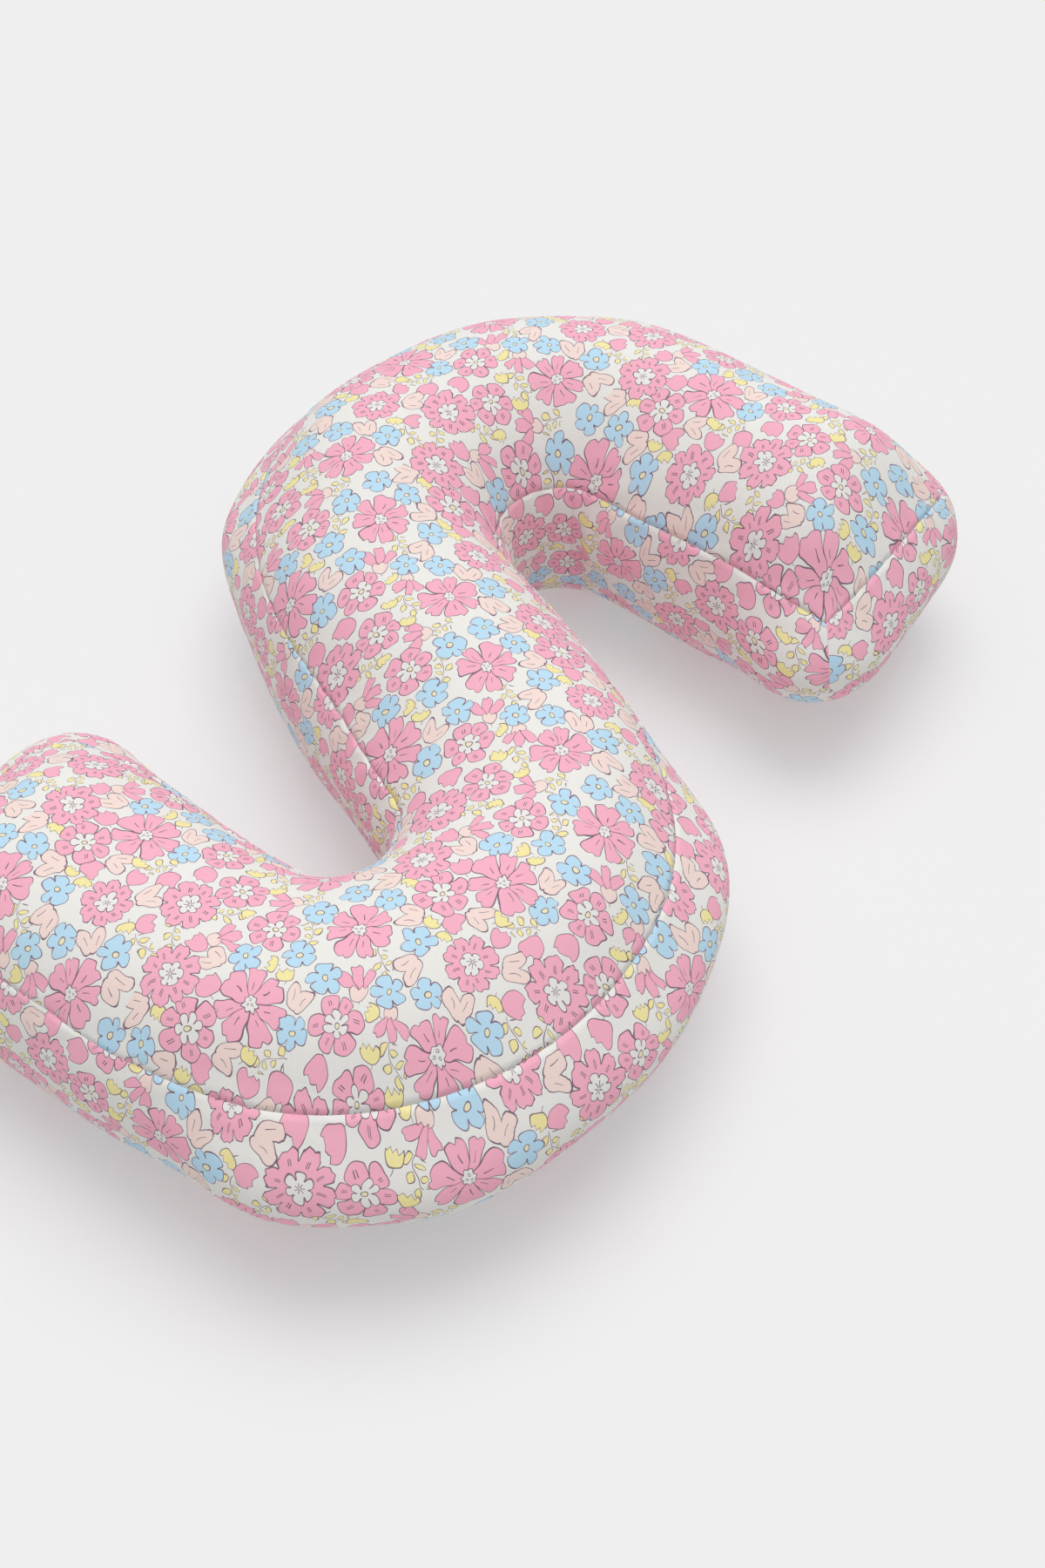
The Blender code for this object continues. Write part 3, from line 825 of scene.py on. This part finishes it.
    def points(self, u: Array, v: Array, level: Array, depth: float = 0.0, fullness: float = 1.0) -> Array:
        """Places on the form.

        Args:
            u: place along the S.
            v: place across it.
            level: -1 at the lower seam and below it, 1 at the upper seam and above it.
            depth: how far inside the form.
            fullness: share of the full crown and of the full swell away from the zip.

        Returns:
            One row of x, y and z for each place.
        """
        outline = np.maximum(np.abs(u), np.abs(v)) > 1.0 - 1e-6
        share = self.edge_share(u, v)
        lean = 0.5 + 0.5 * (1.0 - share)
        plump = self.plump_upper * smooth((u + 0.1) * 2.0) - self.slack_lower * smooth(-(u + 0.45) * 3.0)
        crown = (self.height + plump - self.seam_high) * fullness * (1.0 - share**2) ** self.crown_power
        lift = np.maximum(0.0, share - self.flat_share) / (1.0 - self.flat_share)
        top = self.seam_high + crown - depth * lean
        bottom = self.seam_low * lift**self.lift_power + depth * (1.0 - 0.5 * lift)
        wall = self.centre[2] + level * (self.half_wall - 0.5 * depth)
        bulge = self.swell(u, v) * np.maximum(np.cos(math.pi / 2 * level), 0.0) ** self.swell_power
        bulge = np.where(outline, bulge * np.where(self.near_zip(u, v), 1.0, fullness), 0.0)
        x, y = self.plan(u, v, depth - bulge - self.spread_out(u, v))
        z = np.where(outline, wall, np.where(level > 0.0, top, bottom))
        return np.stack([x, y, z], axis=1)

    def near_zip(self, u: Array, v: Array) -> Array:
        """True on the outer wall of the zipped bend."""
        turned = (u * self.half_length - self.bar_half) / self.bend_radius
        return (v > 0.0) & (turned > math.radians(20.0)) & (turned < math.radians(152.0))


FORM = PillowForm()


@dataclass(frozen=True)
class ZipPlan:
    """Where the zip lies on the wall, by angle round the bend from the bar's side."""

    start: float = math.radians(50.0)
    end: float = math.radians(140.0)
    half_opening: float = 0.0052

    def angle(self, u: Array) -> Array:
        """Angle round the zipped bend at each place along the S."""
        return (u * FORM.half_length - FORM.bar_half) / FORM.bend_radius


ZIP = ZipPlan()


@dataclass(frozen=True)
class Filling:
    """How the cloth is filled: settings of the simulation and how far a point may move."""

    frames: int = 20
    pressure: float = 4.0
    tension: float = 18.0
    bending: float = 0.6
    cap: float = 0.011


@dataclass
class SewnCover:
    """The whole cover sewn together: a grid over the form, filled by simulation, then cut into panels."""

    length_cells: int = 176
    width_cells: int = 28
    wall_cells: int = 16
    end_pull: float = 0.1
    fullness: float = 0.86
    ease_reach: float = 0.026
    ease_steps: int = 26
    notch_join: float = math.radians(130.0)
    thickness: float = 0.0009
    ditch_depth: float = 0.30 * MM
    ditch_reach: float = 1.6 * MM
    gather_depth: float = 0.34 * MM
    gather_reach: float = 9.0 * MM
    lump_depth: float = 0.7 * MM
    panel_flat: tuple[float, float] = (0.51, 0.64)
    strip_gap: float = 0.03
    top_cut: float = 1.18
    bottom_cut: float = 1.04
    filling: Filling = field(default_factory=Filling)

    def even_out(self, x: Array) -> Array:
        """Cell positions drawn closer together towards both ends."""
        return (1.0 + self.end_pull) * x - self.end_pull * x**3

    def rows(self, x: Array) -> Array:
        """Place the wall's rows of cells so that one lies on each edge of the zip's opening."""
        row = 2.0 / self.wall_cells
        edge = ZIP.half_opening / FORM.half_wall
        beyond = edge + (np.abs(x) - row) / (1.0 - row) * (1.0 - edge)
        return np.copysign(np.where(np.abs(x) < row, np.abs(x) / row * edge, beyond), x)

    def grid(self) -> bpy.types.Mesh:
        """Make the closed grid, still as a box of -1 to 1."""
        bm = bmesh.new()
        bmesh.ops.create_cube(bm, size=2.0)
        for axis, cells in enumerate((self.length_cells, self.width_cells, self.wall_cells)):
            along = [e for e in bm.edges if abs(e.verts[0].co[axis] - e.verts[1].co[axis]) > 1.0]
            bmesh.ops.subdivide_edges(bm, edges=along, cuts=cells - 1, use_grid_fill=True)
        bmesh.ops.recalc_face_normals(bm, faces=bm.faces)
        return mesh_from(bm, "sewn_cover")

    def run(self, u: Array, v: Array) -> Array:
        """Distance round the outline at the seam.

        Args:
            u: place along the S, on the outline.
            v: place across it.

        Returns:
            Distances down the +X side from the upper arm's end, round the lower end, and back up.
        """
        side, end = 2.0 * FORM.half_length, 2.0 * FORM.half_width
        right = FORM.half_length * (1.0 - u)
        left = side + end + FORM.half_length * (1.0 + u)
        lower = side + FORM.half_width * (1.0 + v)
        upper = 2.0 * side + end + FORM.half_width * (1.0 - v)
        across = np.where(u < 0.0, lower, upper)
        plain = np.where(v <= -1.0 + 1e-6, right, np.where(v >= 1.0 - 1e-6, left, across))
        return np.interp(plain, *self.outline_lengths())

    def outline_lengths(self) -> tuple[Array, Array]:
        """Tabulate the outline's true length.

        Returns:
            Distances along the centreline's rectangle, and the true length of the outline at each.
        """
        side, end = 2.0 * FORM.half_length, 2.0 * FORM.half_width
        steps = np.linspace(0.0, 1.0, 400)
        ones = np.ones_like(steps)
        u = np.concatenate([1.0 - 2.0 * steps, -ones, 2.0 * steps - 1.0, ones])
        v = np.concatenate([-ones, 2.0 * steps - 1.0, ones, 1.0 - 2.0 * steps])
        starts = (0.0, side, side + end, 2.0 * side + end)
        plain = np.concatenate([start + steps * size for start, size in zip(starts, (side, end) * 2)])
        x, y = FORM.plan(u, v)
        lengths = np.concatenate([[0.0], np.cumsum(np.hypot(np.diff(x), np.diff(y)))])
        return plain, lengths

    def panel_of(self, u: float, v: float, level: float) -> Panel:
        """The panel that a face belongs to, from the middle of the face in the box.

        Args:
            u: place along the S.
            v: place across it.
            level: place up the wall.

        Returns:
            The panel.
        """
        if abs(level) > 1.0 - 1e-6:
            return Panel.TOP if level > 0.0 else Panel.BOTTOM
        angle = ZIP.angle(u)
        if v > 1.0 - 1e-6 and ZIP.start < angle < ZIP.end:
            if abs(level) < 2.0 / self.wall_cells:
                return Panel.OPENING
            return Panel.ZIP_UPPER if level > 0.0 else Panel.ZIP_LOWER
        if v < -1.0 + 1e-6:
            return Panel.ARM if angle > self.notch_join else Panel.FRONT
        if v > 1.0 - 1e-6:
            if angle > ZIP.end:
                return Panel.ARM
            return Panel.BAR if ZIP.angle(-u) < self.notch_join else Panel.FRONT
        return Panel.ARM if u > 0.0 else Panel.FRONT

    def lay_out(self, mesh: bpy.types.Mesh) -> Array:
        """Number each face's panel and give each corner its place on the cut cloth.

        Args:
            mesh: the grid, as a box.

        Returns:
            u, v and level of each vertex.
        """
        box = read_points(mesh)
        u, v, level = self.even_out(box[:, 0]), box[:, 1], self.rows(box[:, 2])
        x, y = FORM.plan(u, v)
        outline = np.maximum(np.abs(u), np.abs(v)) > 1.0 - 1e-6
        run = np.where(outline, self.run(u, v), 0.0)
        round_trip = self.outline_lengths()[1][-1]
        cloth = mesh.uv_layers.new(name="cloth")
        for face in mesh.polygons:
            corners = np.array(face.vertices)
            middle = box[corners].mean(axis=0)
            panel = self.panel_of(self.even_out(middle[0]), middle[1], middle[2])
            face.material_index = panel.index
            if panel in (Panel.TOP, Panel.BOTTOM):
                flip = 1.0 if panel is Panel.TOP else -1.0
                place = np.stack([x[corners], flip * y[corners]], axis=1)
            else:
                around = run[corners]
                if np.ptp(around) > round_trip / 2:
                    around = np.where(around < round_trip / 2, around + round_trip, around)
                place = np.stack([-around, level[corners] * FORM.half_wall * 1.2], axis=1)
            for loop, spot in zip(face.loop_indices, place):
                cloth.data[loop].uv = spot
        return np.stack([u, v, level], axis=1)

    def fill(self, mesh: bpy.types.Mesh, form: Array) -> None:
        """Swell the sewn cloth by simulation, with the zip's wall held where the zip lies.

        Args:
            mesh: the cover in its slack shape.
            form: u, v and level of each vertex.
        """
        start = read_points(mesh)
        piece = add_piece("filling_cloth", mesh)
        angle = ZIP.angle(form[:, 0])
        margin = np.minimum(angle - ZIP.start, ZIP.end - angle) / math.radians(6.0) + 1.0
        near = smooth(margin) * smooth(2.2 - np.abs(form[:, 2]) * 2.6) * (form[:, 1] > 1.0 - 1e-6)
        near = np.maximum(near, 0.5 * (form[:, 2] < -1.0 + 1e-6) * (FORM.edge_share(*form.T[:2]) < 0.6))
        group = piece.vertex_groups.new(name="held")
        for index in np.nonzero(near > 0.01)[0]:
            group.add([int(index)], float(near[index]), "REPLACE")
        cloth = piece.modifiers.new("cloth", "CLOTH")
        cloth.settings.quality = 5
        cloth.settings.mass = 0.3
        cloth.settings.tension_stiffness = self.filling.tension
        cloth.settings.compression_stiffness = self.filling.tension
        cloth.settings.shear_stiffness = self.filling.tension / 3
        cloth.settings.bending_stiffness = self.filling.bending
        cloth.settings.use_pressure = True
        cloth.settings.uniform_pressure_force = self.filling.pressure
        cloth.settings.effector_weights.gravity = 0.0
        cloth.settings.vertex_group_mass = "held"
        cloth.collision_settings.use_collision = False
        scene = bpy.context.scene
        for step in range(1, self.filling.frames + 1):
            scene.frame_set(step)
        swollen = read_points(evaluated_mesh(piece))
        scene.frame_set(1)
        moved = swollen - start
        far = np.linalg.norm(moved, axis=1)
        LOG.info("cloth moved %.1f mm at most, %.1f mm on average", far.max() * 1e3, far.mean() * 1e3)
        limit = self.filling.cap * np.tanh(far / self.filling.cap) / np.maximum(far, 1e-9)
        bpy.data.objects.remove(piece)
        write_points(mesh, start + moved * limit[:, None])

    def sew(self) -> bpy.types.Mesh:
        """Make the whole cover, filled and smoothed, before it is cut into its panels."""
        mesh = self.grid()
        form = self.lay_out(mesh)
        layer = mesh.attributes.new("form", "FLOAT_VECTOR", "POINT")
        layer.data.foreach_set("vector", form.astype(np.float32).ravel())
        write_points(mesh, FORM.points(*form.T, fullness=self.fullness))
        self.fill(mesh, form)
        self.ease(mesh, form)
        self.coarse = mesh
        finer = add_piece("finer_cloth", mesh)
        smoothing = finer.modifiers.new("finer", "SUBSURF")
        smoothing.levels = 1
        smoothing.render_levels = 1
        smoothing.uv_smooth = "NONE"
        fine = evaluated_mesh(finer)
        bpy.data.objects.remove(finer)
        self.pucker(fine)
        return fine

    @staticmethod
    def seam_distance(u: Array, v: Array, level: Array) -> Array:
        """Distance over the cloth from the nearer long seam."""
        edge = np.minimum((1.0 - np.abs(v)) * FORM.half_width, (1.0 - np.abs(u)) * FORM.half_length)
        rise = (1.0 - np.abs(level)) * FORM.half_wall
        return np.maximum(edge, 0.0) + np.maximum(rise, 0.0)

    def ease(self, mesh: bpy.types.Mesh, form: Array) -> None:
        """Let the slope run on across the seams, so that the filling leaves no crease there.

        Args:
            mesh: the filled cover.
            form: u, v and level of each vertex.
        """
        u, v, level = form.T
        points = read_points(mesh)
        ends = np.zeros(len(mesh.edges) * 2, np.int32)
        mesh.edges.foreach_get("vertices", ends)
        one, other = ends.reshape(-1, 2).T
        count = np.bincount(ends, minlength=len(points))[:, None]
        share = 0.5 * np.exp(-self.seam_distance(u, v, level) / self.ease_reach)
        held = FORM.near_zip(u, v) & (np.abs(v) > 1.0 - 1e-4)
        share = np.where(held, share * smooth(np.abs(level) * 3.0 - 1.6), share)[:, None]
        for _ in range(self.ease_steps):
            total = np.zeros_like(points)
            np.add.at(total, one, points[other])
            np.add.at(total, other, points[one])
            points += share * (total / count - points)
        points[:, 2] = np.maximum(points[:, 2], 0.0)
        write_points(mesh, points)

    def pucker(self, mesh: bpy.types.Mesh) -> None:
        """Sink the seams and gather the cloth beside them.

        Args:
            mesh: the smoothed cover.
        """
        values = np.zeros(len(mesh.vertices) * 3, np.float32)
        mesh.attributes["form"].data.foreach_get("vector", values)
        u, v, level = values.reshape(-1, 3).astype(float).T
        off = self.seam_distance(u, v, level)
        points = read_points(mesh)
        normals = read_points(mesh, "normal")
        ditch = self.ditch_depth * np.exp(-((off / self.ditch_reach) ** 2))
        waves = sum(high * np.sin(turns * (points[:, 0] + side * points[:, 1]) + start)
                    for high, turns, side, start in ((1.0, 610.0, 0.7, 0.0), (0.7, 820.0, -0.6, 1.3),
                                                     (0.8, 430.0, 1.1, 2.1)))
        gather = self.gather_depth * waves * np.exp(-off / self.gather_reach)
        gather = gather * smooth(points[:, 2] / 0.02)
        lumps = sum(high * np.sin(points @ np.array(turns) + start)
                    for high, turns, start in ((1.0, (41.0, 33.0, 60.0), 0.5), (0.8, (-55.0, 38.0, 45.0), 2.0),
                                               (0.7, (30.0, -71.0, 30.0), 4.0)))
        held = FORM.near_zip(u, v) & (np.abs(v) > 1.0 - 1e-4)
        lumps = self.lump_depth * lumps * smooth(points[:, 2] / 0.04) * np.where(held, 0.0, 1.0)
        gather = np.where(held, gather * smooth(np.abs(level) * 3.0 - 1.6), gather)
        points += normals * (gather + lumps - ditch)[:, None]
        points[:, 2] = np.maximum(points[:, 2], 0.0)
        write_points(mesh, points)

    def cut_out(self, mesh: bpy.types.Mesh, panel: Panel, cotton: bpy.types.Material) -> None:
        """Cut one panel out of the sewn cover and give it the cloth's thickness.

        Args:
            mesh: the whole cover.
            panel: the panel to keep.
            cotton: its material.
        """
        bm = bmesh.new()
        bm.from_mesh(mesh)
        others = [face for face in bm.faces if face.material_index != panel.index]
        bmesh.ops.delete(bm, geom=others, context="FACES")
        cloth = bm.loops.layers.uv["cloth"]
        area = sum(face.calc_area() for face in bm.faces)
        marks = sorted({round(loop[cloth].uv[0], 4) for face in bm.faces for loop in face.loops})
        length = sum(gap for gap in np.diff(marks) if gap < self.strip_gap)
        LOG.info("%s: %.4f square metres, %.3f long on its map", panel.value, area, length)
        for face in bm.faces:
            face.material_index = 0
            face.smooth = True
        piece = add_piece(panel.value.replace("cover_", "cotton_"), mesh_from(bm, panel.value))
        piece.data.materials.append(cotton)
        solid = piece.modifiers.new("cloth", "SOLIDIFY")
        solid.thickness = self.thickness
        solid.offset = -1.0
        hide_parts(panel.value)
        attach(piece, "root")
        if panel in (Panel.TOP, Panel.BOTTOM):
            share = self.top_cut if panel is Panel.TOP else self.bottom_cut
            cut = 4.0 * FORM.half_length * FORM.half_width * share
        else:
            area / length


# ---- inside the cover ----


def tinted(name: str, colour: tuple[float, float, float], roughness: float, scale: float = 700.0,
           depth: float = 0.1 * MM, metallic: float = 0.0) -> bpy.types.Material:
    """Make a plain material with a fine grain.

    Args:
        name: the material's name.
        colour: base colour, linear.
        roughness: its roughness.
        scale: how fine the grain is.
        depth: how deep the grain is.
        metallic: how much it is a metal.

    Returns:
        The material.
    """
    material = bpy.data.materials.new(name)
    material.use_nodes = True
    tree = material.node_tree
    shader = tree.nodes["Principled BSDF"]
    shader.inputs["Roughness"].default_value = roughness
    shader.inputs["Metallic"].default_value = metallic
    places = tree.nodes.new("ShaderNodeTexCoord")
    grain = Num(tree, noise_at(tree, places.outputs["Object"], scale, 3.0).outputs[0])
    darker = tuple(0.82 * value for value in colour)
    tree.links.new(colour_mix(tree, grain, darker, colour), shader.inputs["Base Color"])
    tree.links.new(relief(tree, grain, 0.5, depth), shader.inputs["Normal"])
    return material


@dataclass(frozen=True)
class Insert:
    """The inner pillow and its filling, each drawn in from the sewn cover."""

    liner_depth: float = 6.0 * MM
    filling_depth: float = 10.0 * MM
    fill: float = 0.85

    def shrunk(self, mesh: bpy.types.Mesh, name: str, depth: float) -> bpy.types.Object:
        """Copy the sewn cover, drawn in by a depth.

        Args:
            mesh: the sewn cover.
            name: the new piece's name.
            depth: how far inside the cover.

        Returns:
            The piece.
        """
        inner = mesh.copy()
        inner.name = name
        write_points(inner, read_points(mesh) - depth * read_points(mesh, "normal"))
        piece = add_piece(name, inner)
        inner.materials.clear()
        for face in inner.polygons:
            face.material_index = 0
            face.use_smooth = True
        return piece

    def build(self, mesh: bpy.types.Mesh) -> None:
        """Make both pieces from the sewn cover."""
        liner = self.shrunk(mesh, "inner_pillow", self.liner_depth)
        liner.data.materials.append(tinted("white_cotton", (0.82, 0.82, 0.80), 0.9, 1500.0))
        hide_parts("liner_top_panel", "liner_bottom_panel", "liner_wall_front_strip",
                    "liner_wall_back_strip")
        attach(liner, "root")
        filling = self.shrunk(mesh, "polyester_filling", self.filling_depth)
        filling.data.materials.append(tinted("polyester_fibre", (0.88, 0.88, 0.87), 1.0, 220.0, 1.5 * MM))
        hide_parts("fibre_filling")
        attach(filling, "root")


# ---- the zip and the label ----


@dataclass(frozen=True)
class ZipFittings:
    """Tapes and teeth of the zip, laid along the outer wall of the zipped bend."""

    tape_width: float = 12.0 * MM
    tape_gap: float = 0.8 * MM
    tape_depth: float = 2.7 * MM
    tooth_pitch: float = 1.5 * MM
    tooth_offset: float = 2.0 * MM
    tooth_depth: float = 1.3 * MM
    tape_thickness: float = 0.6 * MM
    tooth_size: tuple[float, float, float] = (0.90 * MM, 0.62 * MM, 0.96 * MM)
    tooth_lean: float = 0.2
    first_tooth: float = math.radians(5.5)
    bare_ends: float = math.radians(9.2)
    stops: tuple[str, ...] = ("zip_top_stop_lower", "zip_top_stop_upper", "zip_bottom_stop")
    slider_parts: tuple[str, ...] = ("zip_slider_body", "zip_slider_cap", "zip_pull_tab")

    def wall_point(self, angle: Array, height: Array, depth: float) -> Array:
        """Places on the zipped wall.

        Args:
            angle: angle round the bend.
            height: height from the zip's middle.
            depth: how far inside the cover's outer face.

        Returns:
            One row for each place.
        """
        u = (FORM.bar_half + FORM.bend_radius * angle) / FORM.half_length
        return FORM.points(u, np.ones_like(u), height / FORM.half_wall, depth)

    def tape(self, sign: int, name: str, weave: bpy.types.Material) -> None:
        """Make one tape as a woven strip.

        Args:
            sign: 1 for the upper tape, -1 for the lower.
            name: the CAD node it stands for.
            weave: its material.
        """
        angles = np.linspace(ZIP.start + 0.01, ZIP.end - 0.01, 120)
        heights = sign * (self.tape_gap + np.linspace(0.0, self.tape_width - self.tape_gap, 7))
        grid = np.stack(np.meshgrid(angles, heights, indexing="ij"), axis=-1).reshape(-1, 2)
        points = self.wall_point(grid[:, 0], grid[:, 1], self.tape_depth)
        faces = []
        for i in range(len(angles) - 1):
            for j in range(len(heights) - 1):
                first = i * len(heights) + j
                ring = [first, first + len(heights), first + len(heights) + 1, first + 1]
                faces.append(ring[::-1] if sign > 0 else ring)
        mesh = bpy.data.meshes.new(name)
        mesh.from_pydata(points.tolist(), [], faces)
        piece = add_piece(name.replace("zip_", "woven_"), mesh)
        solid = piece.modifiers.new("tape", "SOLIDIFY")
        solid.thickness = self.tape_thickness
        mesh.materials.append(weave)
        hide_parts(name)
        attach(piece, "root")
        length = (ZIP.end - ZIP.start) * FORM.wall_radius

    def teeth(self, sign: int, name: str, nylon: bpy.types.Material) -> None:
        """Make one row of nylon teeth.

        Args:
            sign: 1 for the upper row, -1 for the lower.
            name: the CAD node it stands for.
            nylon: its material.
        """
        bm = bmesh.new()
        radius = FORM.wall_radius - self.tooth_depth
        count = int((ZIP.end - ZIP.start - self.bare_ends) * radius / self.tooth_pitch)
        size = Matrix.Diagonal((*self.tooth_size, 1.0))
        for index in range(count):
            angle = ZIP.start + self.first_tooth + (index + 0.25 * sign) * self.tooth_pitch / radius
            made = bmesh.ops.create_uvsphere(bm, u_segments=8, v_segments=6, radius=1.0)
            spot = Vector(FORM.centre) + Vector((-math.cos(angle) * radius, math.sin(angle) * radius,
                                                 sign * self.tooth_offset))
            turn = Matrix.Rotation(math.pi - angle, 4, "Z") @ Matrix.Rotation(sign * self.tooth_lean, 4, "X")
            bmesh.ops.transform(bm, matrix=Matrix.Translation(spot) @ turn @ size, verts=made["verts"])
        for face in bm.faces:
            face.smooth = True
        piece = add_piece(name.replace("zip_coil", "zip_teeth"), mesh_from(bm, name))
        piece.data.materials.append(nylon)
        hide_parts(name)
        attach(piece, "root")

    def build(self) -> None:
        """Make the zip's pieces, and give the slider and stops their finish."""
        weave = tinted("zip_tape_weave", (0.86, 0.84, 0.82), 0.8, 1800.0)
        nylon = tinted("zip_nylon", (0.84, 0.82, 0.80), 0.38, 2500.0, 0.03 * MM)
        enamel = tinted("zip_enamel", (0.80, 0.78, 0.76), 0.30, 1200.0, 0.02 * MM, 0.15)
        for sign, side in ((1, "upper"), (-1, "lower")):
            self.tape(sign, f"zip_tape_{side}", weave)
            self.teeth(sign, f"zip_coil_{side}", nylon)
        for names, finish in ((self.stops, nylon), (self.slider_parts, enamel)):
            for name in names:
                node = frame["nodes"][name]
                node.data.materials.clear()
                node.data.materials.append(finish)


def care_label(mesh: bpy.types.Mesh) -> None:
    """Make the blank satin label that lies on the wall by the zip's end.

    Args:
        mesh: the sewn cover it lies on.
    """
    bm = bmesh.new()
    bm.from_mesh(mesh)
    cover = BVHTree.FromBMesh(bm)
    bm.free()
    wide, tall, cells = 20.0 * MM, 30.0 * MM, 12
    points, faces = [], []
    for i in range(cells + 1):
        along = FORM.bar_half + FORM.bend_radius * (ZIP.end + i / cells * wide / FORM.wall_radius)
        for j in range(cells + 1):
            level = (j / cells - 0.5) * tall / FORM.half_wall
            spot = FORM.points(np.array([along / FORM.half_length]), np.ones(1), np.array([level]))[0]
            near, normal, _, _ = cover.find_nearest(Vector(spot))
            curl = 0.6 + 1.1 * (i / cells) ** 2 + 0.2 * math.sin(j * 0.9)
            points.append(near + curl * MM * normal)
            if i < cells and j < cells:
                first = i * (cells + 1) + j
                faces.append((first, first + 1, first + cells + 2, first + cells + 1))
    label = bpy.data.meshes.new("care_label_satin")
    label.from_pydata(points, [], faces)
    piece = add_piece("blank_label", label)
    solid = piece.modifiers.new("satin", "SOLIDIFY")
    solid.thickness = 0.35 * MM
    solid.offset = 0.0
    label.materials.append(tinted("label_satin", (0.86, 0.86, 0.85), 0.45, 1600.0, 0.05 * MM))
    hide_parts("care_label")
    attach(piece, "root")


# ---- studio ----


@dataclass(frozen=True)
class Studio:
    """A pale floor, soft light from above, and the camera."""

    azimuth: float = math.radians(-29.4)
    elevation: float = math.radians(49.4)
    distance: float = 1.297
    focal: float = 56.3
    target: tuple[float, float, float] = (0.0333, -0.0111, 0.0)
    glow_level: float = 0.15
    glow_above: float = 1.08
    backdrop: float = 0.86
    softbox_angle: float = math.radians(50.0)
    softbox_energy: float = 1.2
    softbox_from: tuple[float, float, float] = (0.22, 0.31, 1.0)
    floor_half: float = 6.0
    floor_drop: float = 0.6 * MM
    floor_tone: float = 0.55
    floor_glow: float = 0.28

    def camera(self) -> None:
        """Place the camera and make it the scene's own."""
        data = bpy.data.cameras.new("camera")
        data.lens = self.focal
        camera = bpy.data.objects.new("camera", data)
        bpy.context.scene.collection.objects.link(camera)
        level = math.cos(self.elevation)
        back = Vector((math.sin(self.azimuth) * level, -math.cos(self.azimuth) * level,
                       math.sin(self.elevation)))
        camera.location = Vector(self.target) + self.distance * back
        camera.rotation_euler = back.to_track_quat("Z", "Y").to_euler()
        bpy.context.scene.camera = camera
        bpy.context.scene.view_settings.view_transform = "Standard"

    def floor(self) -> None:
        """Lay the floor just under the pillow."""
        bm = bmesh.new()
        bmesh.ops.create_grid(bm, x_segments=1, y_segments=1, size=self.floor_half)
        bmesh.ops.translate(bm, vec=(0.0, 0.0, -self.floor_drop), verts=bm.verts)
        floor = add_piece("floor", mesh_from(bm, "floor"))
        material = bpy.data.materials.new("pale_floor")
        material.use_nodes = True
        shader = material.node_tree.nodes["Principled BSDF"]
        shader.inputs["Base Color"].default_value = (*(self.floor_tone,) * 3, 1.0)
        shader.inputs["Emission Color"].default_value = (1.0, 1.0, 1.0, 1.0)
        shader.inputs["Emission Strength"].default_value = self.floor_glow
        shader.inputs["Roughness"].default_value = 0.9
        floor.data.materials.append(material)

    def lights(self) -> None:
        """Hang a broad soft light behind and above, and set the room's even glow."""
        data = bpy.data.lights.new("softbox", "SUN")
        data.angle = self.softbox_angle
        data.energy = self.softbox_energy
        light = bpy.data.objects.new("softbox", data)
        light.rotation_euler = Vector(self.softbox_from).to_track_quat("Z", "Y").to_euler()
        bpy.context.scene.collection.objects.link(light)
        world = bpy.context.scene.world or bpy.data.worlds.new("world")
        bpy.context.scene.world = world
        world.use_nodes = True
        tree = world.node_tree
        places = tree.nodes.new("ShaderNodeTexCoord")
        height = components(tree, places.outputs["Generated"])[2].op("MAXIMUM", 0.0)
        glow = (height * height).op("MULTIPLY_ADD", self.glow_above, self.glow_level)
        seen = Num(tree, tree.nodes.new("ShaderNodeLightPath").outputs["Is Camera Ray"])
        glow = glow + seen * (glow * -1.0 + self.backdrop)
        tree.links.new(glow.socket, tree.nodes["Background"].inputs["Strength"])
        tree.nodes["Background"].inputs["Color"].default_value = (1.0, 0.995, 1.0, 1.0)

    def build(self) -> None:
        """Set up the whole studio."""
        self.camera()
        self.floor()
        self.lights()


def main() -> None:
    """Build the pillow and its studio."""
    logging.basicConfig(level=logging.INFO, format="%(message)s")
    Studio().build()
    cover = SewnCover()
    sewn = cover.sew()
    cotton = FloralPrint().material()
    for panel in Panel:
        if panel is not Panel.OPENING:
            cover.cut_out(sewn, panel, cotton)
    Insert().build(cover.coarse)
    ZipFittings().build()
    care_label(sewn)


if __name__ == "__main__":
    main()
